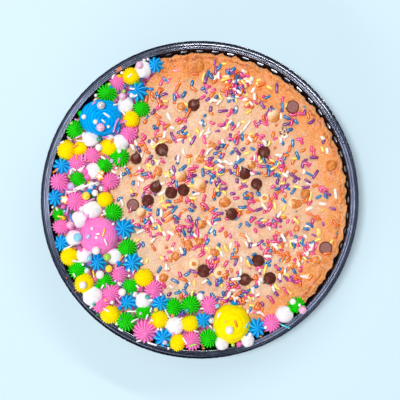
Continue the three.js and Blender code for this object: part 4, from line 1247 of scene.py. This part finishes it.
# Each colour's list, outline from the side, ribs, their depth, twist and height per radius
DOLLOP_KINDS = {
    "green": (GREEN_STARS, STAR_SIDE, 17, 0.26, 0.30, 1.3),
    "pink": (PINK_STARS, STAR_SIDE, 16, 0.19, 0.25, 1.28),
    "blue": (BLUE_STARS, STAR_SIDE, 9, 0.32, 0.35, 1.22),
    "yellow": (YELLOW_STARS, BUTTON_SIDE, 22, 0.10, 0.15, 1.15),
    "white": (WHITE_KISSES, KISS_SIDE, 5, 0.022, 1.6, 1.25),
}
# Small blobs of frosting between the dollops: x, y, radius, and what this one's height is more than its
# radius and the height that all have
DAB_HEIGHT = 2.6
DABS = {
    "white": [
        (-90.8, 23.4, 2.2, 1.5), (-98.2, 22, 2.2, 2), (-90.2, -7, 2.6, 2.5), (-83.6, 11, 3.4, 1),
        (-90, 9.6, 2.8, 1.5), (-78.6, 12.4, 2, 2), (-58.4, 40.2, 2.4, 0.5), (-68.8, 47.6, 3, 1),
        (-88.6, 49.6, 2.6, 1), (-60.4, 69.4, 2.6, 1), (-86.8, -54.6, 2.4, 1), (-83.4, -39.6, 2.4, 1),
        (-66.8, -78.6, 2, 1.5), (-49.8, -72.6, 2.4, 1), (-36.4, -92.6, 2, 1.5), (-25, -97.6, 2, 1.5),
        (-61.2, -64.6, 2, 1.5), (12.2, -99.6, 2.2, 1),
    ],
    "pink": [
        (-87.4, 21.4, 3, 2.5), (-101.6, 7.6, 2, 2), (-104.8, -5.4, 2, 1.5), (-98.6, -20, 3.2, 2),
        (-90.6, -39.4, 2.6, 1.5), (-62, 60.4, 3, 0.5), (-57.6, 79, 2.6, 2), (-85.8, 17.6, 3, 2),
        (-84.2, -16, 2.6, 1), (-79.6, -60.6, 2.2, 1.5), (-58.6, -70.2, 2.2, 0.5), (-46.6, -68, 2, 1),
        (30.2, -111.2, 2.2, 1.5), (-72.6, 8, 2.6, 1.5), (-88, -1.2, 2.6, 1),
    ],
    "blue": [
        (-84.6, 6.4, 2.4, 1.5), (-81.6, 9.8, 1.8, 1.5), (-87, -20.8, 1.8, 1.5), (-62.6, -48.6, 2.6, 1.5),
        (-68.4, 86, 2.2, 1.5), (-77.4, -42.2, 2.4, 1), (-61.2, -83.6, 1.8, 1.5), (26.4, -79.6, 2.2, 0.5),
    ],
    "yellow": [
        (-75.4, 20.6, 2.2, 2), (-84.8, 13, 1.6, 2.5), (-104.4, -14.2, 1.8, 1.5), (-61.8, 94.4, 2.2, 1),
        (-45.6, -55.2, 2, 1), (-72.4, -77.2, 2, 1), (-38.6, -94.8, 2, 1),
    ],
    "green": [
        (-91.4, 66.4, 2.4, 0), (-78.4, -66.8, 2.6, 0), (-66, -64.4, 2, 0), (-78.4, -88.4, 1.5, 0),
        (-33.6, -86.6, 2.2, 0), (70.4, -84.6, 2.6, 1),
    ],
}
# Place, radii, height, middle of the swirl, ridge spacing, ridge depth, how much painted shade lies over it
# all
ROSETTES = {
    "blue": ((-75.8, 62.8), (16.4, 14.6), 12.5, (-72.2, 60.2), 2.5, 1.15, 0.38),
    "pink": ((-77.3, -28), (14.8, 14.6), 13, (-78, -27), 1.8, 0.62, 0.15),
    "yellow": ((24.2, -95.2), (14.5, 15.3), 12, (24.6, -94), 4.4, 0.55, 0.0),
}
SWIRL_AROUND, SWIRL_ROWS = 168, 54


def swirl(place, radii, height, eye, spacing, depth, painted_shade, seed):
    """A large piped swirl: a dome with a spiral of rounded ridges round an eye.
    Gives back the body with the fold of each point."""
    angle = even_angles(SWIRL_AROUND)
    outline = 1 + 0.04 * soft_noise(np.cos(angle) * 2.5, np.sin(angle) * 2.5, 1.0, seed)

    def around(share):
        return place[0] + radii[0] * share * np.cos(angle), place[1] + radii[1] * share * np.sin(angle)

    grid = [points(*around(0.93), COOKIE_LEVEL)]
    # The foot ring is painted in full shade
    folds = [0.0] + [1.0] * SWIRL_AROUND
    for row in range(SWIRL_ROWS):
        share = 1 - (row / SWIRL_ROWS) ** 1.15
        x, y = around(share * outline)
        from_eye = np.hypot(x - eye[0], y - eye[1])
        around_eye = np.arctan2(y - eye[1], x - eye[0]) / TURN
        phase = from_eye / spacing + around_eye + 0.25 * soft_noise(x, y, 9, seed + 1)
        ridge = np.sqrt(np.maximum(1 - (2 * (phase % 1) - 1) ** 2, 0))
        dome = 0.16 + 0.84 * (1 - share ** 2.4) ** 0.62
        z = FROSTING_FOOT + height * dome * 0.95 + depth * (ridge - 0.7 - 0.9 * bump(from_eye, 0, 1.2))
        grid.append(points(x, y, z))
        # Painted shade in the grooves, on top of the painted shade over the whole swirl
        groove = min(1, 1.2 * depth) * np.clip(1.1 - 1.3 * ridge, 0, 1)
        folds.extend(painted_shade + (1 - painted_shade) * groove)
    top = (*place, float(grid[-1][:, 2].mean()))
    return capped(np.array(grid), (*place, COOKIE_LEVEL), top), folds + [0.0]


# The base's outline across: share of its width, share of its height
BASE_SHARES = np.array([0, 0, 0.03, 0.08, 0.2, 0.4, 0.6, 0.8, 0.92, 0.97, 1, 1])
BASE_LEVELS = np.array([0, 0.4, 0.75, 0.95, 1, 1, 1, 1, 0.95, 0.75, 0.4, 0])


def frosting_base(edge, steps, seed):
    """The low layer that the dollops stand on, uneven and round at its edges."""
    grid = []
    for direction in np.linspace(edge[-1][0], edge[0][0], steps + 1):
        inner = np.interp(direction, *zip(*edge)) + 1.0
        share = (direction - edge[0][0]) / (edge[-1][0] - edge[0][0])
        end = math.sin(math.pi * share) ** 0.12 if 0 < share < 1 else 0.3
        distance = inner + (CRESCENT_OUTER - inner) * BASE_SHARES
        x, y = polar(distance, direction * DEGREE)
        bumps = 0.25 * soft_noise(x, y, 4, seed) + 0.15 * soft_noise(x, y, 1.8, seed + 1)
        z = COOKIE_LEVEL + (BASE_HEIGHT - 0.4) * BASE_LEVELS * end + bumps * (BASE_LEVELS > 0.5)
        grid.append(points(x, y, z))
    heap = Heap()
    heap.add(capped(np.array(grid), grid[0].mean(0), grid[-1].mean(0)))
    return heap


def shaded_core_material():
    """Frosting pressed out between the dollops: smeared patches of their colours, all painted
    deep, as shade in the gaps.
    """
    shader = Shader("frosting_core_shaded", (214, 110, 168), 0.5, Specular_IOR_Level=0.2)
    pinks = shader.mix(shader.patches(4, 0.42, 0.58), (128, 20, 72), (190, 100, 154))
    blues = shader.mix(shader.patches(5.5, 0.55, 0.60), pinks, (10, 80, 140))
    greens = shader.mix(shader.patches(6.5, 0.57, 0.62), blues, (6, 90, 14))
    shader.colour(shader.mix(shader.patches(7.5, 0.60, 0.66), greens, (206, 140, 20)))
    shader.relief(shader.noise(1.2), 0.2)
    return shader.material


def build_frosting():
    """All piped frosting; gives back the pieces that pearls and rods lie on."""
    materials = {}
    made = []
    for colour, (main, deep, light) in FROSTING_COLOURS.items():
        materials[colour] = frosting_material(f"frosting_{colour}", main, deep, light)
    for colour, (places, side, ribs, depth, twist, rise) in DOLLOP_KINDS.items():
        heap = Heap()
        for k, (x, y, r) in enumerate(places):
            seed = 200 + 31 * k + len(places)
            height = rise * r * (0.94 + 0.12 * seeded_random(seed)())
            body, tones, folds = dollop((x, y), r * PIPED_WIDER, height, side, ribs, depth, twist, seed)
            heap.add(body, tones, folds)
        for k, (x, y, r, lift) in enumerate(DABS[colour]):
            body = dollop((x, y), r, r + lift + DAB_HEIGHT, KISS_SIDE, 0, 0, 0, 500 + 7 * k)[0]
            # Each dab has a middling fold, so part of the painted shade colour lies all over it
            heap.add(body, 0.1, 0.5)
        name = "kisses_white" if colour == "white" else f"stars_{colour}"
        made.append(make_piece(name, heap, materials[colour]))
    for colour, settings in ROSETTES.items():
        heap = Heap()
        body, folds = swirl(*settings, 300 + len(colour))
        heap.add(body, 0.2, folds)
        made.append(make_piece(f"swirl_{colour}", heap, materials[colour],
                               [f"rosette_{colour}"]))
    core = shaded_core_material()
    crescent = frosting_base(CRESCENT_EDGE, 120, 330)
    made.append(make_piece("base_crescent", crescent, core, ["frosting_crescent"]))
    tail = frosting_base(TAIL_EDGE, 24, 340)
    made.append(make_piece("base_tail", tail, core, ["frosting_tail"]))
    return made


# ---------------------------------------------------------------- pearls and rods on the frosting

ABOVE_ALL = 90
# Where a small body touches down, as shares of its radius
FOOTPRINT = [(0, 0), (0.6, 0), (-0.6, 0), (0, 0.6), (0, -0.6)]


class Ground:
    """Finds the height of the highest of some pieces at a place."""

    def __init__(self, pieces):
        vertices, faces = [], []
        for piece in pieces:
            start = len(vertices)
            vertices.extend(vertex.co / MM for vertex in piece.data.vertices)
            faces.extend([start + corner for corner in face.vertices] for face in piece.data.polygons)
        self.tree = BVHTree.FromPolygons(vertices, faces)

    def height(self, x, y):
        hit = self.tree.ray_cast(Vector((x, y, ABOVE_ALL)), Vector((0, 0, -1)))[0]
        return max(hit.z, COOKIE_LEVEL) if hit else COOKIE_LEVEL

    def under(self, x, y, radius):
        """Height of the ground under a small round body."""
        heights = [self.height(x + radius * u, y + radius * v) for u, v in FOOTPRINT]
        return max(0.55 * max(heights) + 0.45 * float(np.mean(heights)), heights[0])


def ball(x, y, z, radius, sides=20, rows=11):
    angle = even_angles(sides)
    grid = []
    for tilt in np.linspace(0, math.pi, rows + 1)[1:-1]:
        reach, rise = radius * math.sin(tilt), -radius * math.cos(tilt)
        grid.append(circle(reach, angle, z + rise) + (x, y, 0))
    return capped(np.array(grid), (x, y, z - radius), (x, y, z + radius))


# Colours of pearls and rods: the colour and a deeper one, which on rods is also their painted shade
SUGAR_COLOURS = {
    "white": ((255, 250, 248), (244, 234, 234)),
    "silver": ((246, 240, 242), (206, 198, 204)),
    "pale_pink": ((252, 196, 226), (244, 170, 210)),
    "lilac": ((220, 196, 240), (196, 168, 228)),
    "indigo": ((72, 66, 176), (52, 44, 150)),
    "aqua": ((150, 218, 240), (110, 194, 226)),
    "teal": ((40, 184, 150), (20, 150, 124)),
    "lime": ((178, 226, 90), (150, 204, 60)),
    "yellow": ((255, 226, 60), (252, 208, 20)),
    "orange": ((252, 158, 62), (240, 126, 40)),
    "pink": ((246, 160, 214), (226, 140, 210)),
    "blue": ((60, 146, 220), (34, 112, 196)),
    "turquoise": ((30, 200, 208), (10, 176, 190)),
}


def build_pearls(ground):
    """Pearls pressed a little into what they lie on."""
    for colour, places in PEARLS.items():
        heap = Heap()
        for x, y, r in places:
            heap.add(ball(x, y, ground.under(x, y, r) + 0.62 * r, r))
        metallic = 0.35 if colour == "silver" else 0.0
        material = pearl_material(f"pearl_{colour}", *SUGAR_COLOURS[colour], metallic)
        make_piece(f"pearls_{colour}", heap, material)


# Places along a rod, as shares of its length, where it looks for what it lies on
ROD_FEELERS = (-0.42, -0.22, 0, 0.22, 0.42)
STEEPEST_ROD = 0.6
ROD_RADIUS, LONG_ROD_RADIUS, LONG_ROD = 0.78, 0.72, 7


def build_rods(ground):
    """Rods that lean with the ground below them, a little bent; tone is how deep each one's colour is."""
    random = seeded_random(91)
    for colour, places in RODS.items():
        heap = Heap()
        for x, y, length, towards in places:
            turn = towards * DEGREE
            radius = ROD_RADIUS if length < LONG_ROD else LONG_ROD_RADIUS
            along = [share * length for share in ROD_FEELERS]
            heights = [ground.height(x + d * math.cos(turn), y + d * math.sin(turn)) for d in along]
            pitch = math.atan2(heights[-1] - heights[0], along[-1] - along[0])
            pitch = min(max(pitch, -STEEPEST_ROD), STEEPEST_ROD)
            level = max(h - math.tan(pitch) * d for h, d in zip(heights, along))
            bend = (random() - 0.5) * 0.5
            middle = np.array([x, y, level + 0.45 * radius])
            body, down = rod_body(middle, length, radius, turn, pitch, bend)
            # The fold, how far down its side a point lies, is painted as shade
            heap.add(body, random(), down)
        material = sugar_material(f"rod_{colour}", *SUGAR_COLOURS[colour])
        make_piece(f"rods_{colour}", heap, material)


# Side views of a candy star, a thin smear and a crumb
SWEET_SIDE = [(0.94, 0), (1.0, 0.3), (0.97, 0.7), (0.86, 0.93), (0.5, 1.0), (0.2, 1.0)]
THIN_FILM = [(0, -0.5), (0.9, -0.4), (1, 0), (0.85, 0.22), (0.5, 0.3), (0, 0.32)]
CRUMB_SIDE = [(0, -0.5), (0.7, -0.4), (1, 0.1), (0.86, 0.7), (0.5, 1.0), (0, 1.1)]


def build_candy_stars(ground):
    """Flat pressed sweets with five points."""
    heap = Heap()
    for k, (x, y, r) in enumerate(CANDY_STARS):
        foot = ground.under(x, y, r) - 0.6
        heap.add(dollop((x, y), r, 1.9, SWEET_SIDE, 5, 0.34, 0, 700 + k, foot)[0], 0.2)
    material = sugar_material("candy_star", (255, 166, 56), (246, 140, 40))
    make_piece("candy_stars", heap, material)


def build_small_marks():
    """Smears and specks of colour in the dough, and crumbs on the rim."""
    smears, specks, crumbs = Heap(), Heap(), Heap()
    for k, (x, y, long, short, towards) in enumerate(SMEARS):
        smears.add(mound(on_cookie(x, y), (long, short), towards * DEGREE, THIN_FILM, 0.3, 400 + k), 0.3)
    for x, y, r in TEAL_SPECKS:
        specks.add(ball(x, y, float(cookie_top(x, y)) + 0.2 * r, r, 10, 6), 0.5)
    for k, (x, y, level, long, short, towards, dark) in enumerate(CRUMBS):
        body = mound((x, y, level), (long, short), towards * DEGREE, CRUMB_SIDE, 0.3, 430 + k)
        crumbs.add(body, 0.2 + 0.9 * dark)
    pink = sugar_material("smear_pink", (244, 130, 150), (228, 96, 120))
    teal = sugar_material("speck_teal", (50, 160, 176), (30, 130, 150))
    make_piece("smears_pink", smears, pink)
    make_piece("specks_teal", specks, teal)
    make_piece("crumbs", crumbs, cookie_material("crumb"))


# ---------------------------------------------------------------- floor, light and camera

# Half the floor's side in metres, how brightly it shines by itself, and the light from all round
FLOOR_HALF = 8
FLOOR_GLOW = 0.21
SKY = 0.10


def build_stage():
    """A pale floor that shines faintly by itself, so that the shadow on it stays light."""
    shader = Shader("floor", (186, 208, 218), 0.9, Specular_IOR_Level=0.0, Emission_Color=(222, 244, 255),
                    Emission_Strength=FLOOR_GLOW)
    shader.colour(shader.mix(shader.noise(260, detail=2), (185, 207, 217), (187, 209, 219)))
    mesh = bpy.data.meshes.new("floor")
    corners = [(-1, -1), (1, -1), (1, 1), (-1, 1)]
    mesh.from_pydata([(FLOOR_HALF * x, FLOOR_HALF * y, 0) for x, y in corners], [], [(0, 1, 2, 3)])
    mesh.materials.append(shader.material)
    floor = put_in_scene("floor", mesh)


# Soft boxes: direction and height above the floor in degrees, distance, width and height in metres,
# radiance
SOFT_BOXES = {
    "top": (168, 75.5, 3.0, 0.6, 0.6, 55.8),
    "key": (140, 56, 3.0, 1.4, 1.4, 1.5),
    "behind": (65, 38, 2.6, 2.6, 0.17, 16.0),
    "before": (240, 22, 2.6, 2.6, 0.35, 9.0),
    "side": (-20, 38, 2.6, 2.2, 0.8, 0.4),
}


def add_soft_box(name, azimuth, elevation, distance, width, height, radiance):
    """A soft flat light that looks at the cake from a direction."""
    light = bpy.data.lights.new(name, "AREA")
    light.shape = "RECTANGLE"
    light.size, light.size_y = width, height
    light.energy = radiance * math.pi * width * height
    flat, height_up = polar(distance, elevation * DEGREE)
    place = Vector((*polar(flat, azimuth * DEGREE), height_up))
    obj = put_in_scene(name, light)
    obj.location = place
    obj.rotation_euler = (-place).to_track_quat("-Z", "Y").to_euler()


def build_light():
    """The even light of a room, and the soft boxes in it."""
    world = bpy.data.worlds.new("studio")
    world.use_nodes = True
    background = world.node_tree.nodes["Background"]
    background.inputs["Color"].default_value = (0.98, 0.99, 1.0, 1)
    background.inputs["Strength"].default_value = SKY
    bpy.context.scene.world = world
    for name, settings in SOFT_BOXES.items():
        add_soft_box(name, *settings)
    view = bpy.context.scene.view_settings
    view.view_transform = "Standard"
    view.look = "None"


# The photograph's side, and the rim's radius and middle in it, in pixels
PHOTO_SIDE = 400
RIM_PIXELS = 159.1
RIM_MIDDLE = (199.72, 199.76)
CAMERA_ABOVE_RIM = 720
SENSOR = 36


def build_camera():
    """Looks straight down on the rim, which fills the photograph's frame as it does there."""
    pixel = RIM_RADIUS / RIM_PIXELS
    camera = bpy.data.cameras.new("camera")
    camera.sensor_width = SENSOR
    camera.lens = SENSOR * CAMERA_ABOVE_RIM / (PHOTO_SIDE * pixel)
    camera.clip_start, camera.clip_end = 0.01, 20
    obj = put_in_scene("camera", camera)
    x = (PHOTO_SIDE / 2 - RIM_MIDDLE[0]) * pixel
    y = (RIM_MIDDLE[1] - PHOTO_SIDE / 2) * pixel
    obj.location = (x * MM, y * MM, (RIM_TOP + CAMERA_ABOVE_RIM) * MM)
    bpy.context.scene.camera = obj


# ---------------------------------------------------------------- the whole

build_stage()
build_light()
build_camera()
tin = build_tin()
build_cookie()
build_choc_chips()
build_tan_chips()
build_sprinkles()
frosting = build_frosting()
ground = Ground(frosting + [tin])
build_pearls(ground)
build_rods(ground)
build_candy_stars(ground)
build_small_marks()

bpy.context.view_layer.update()
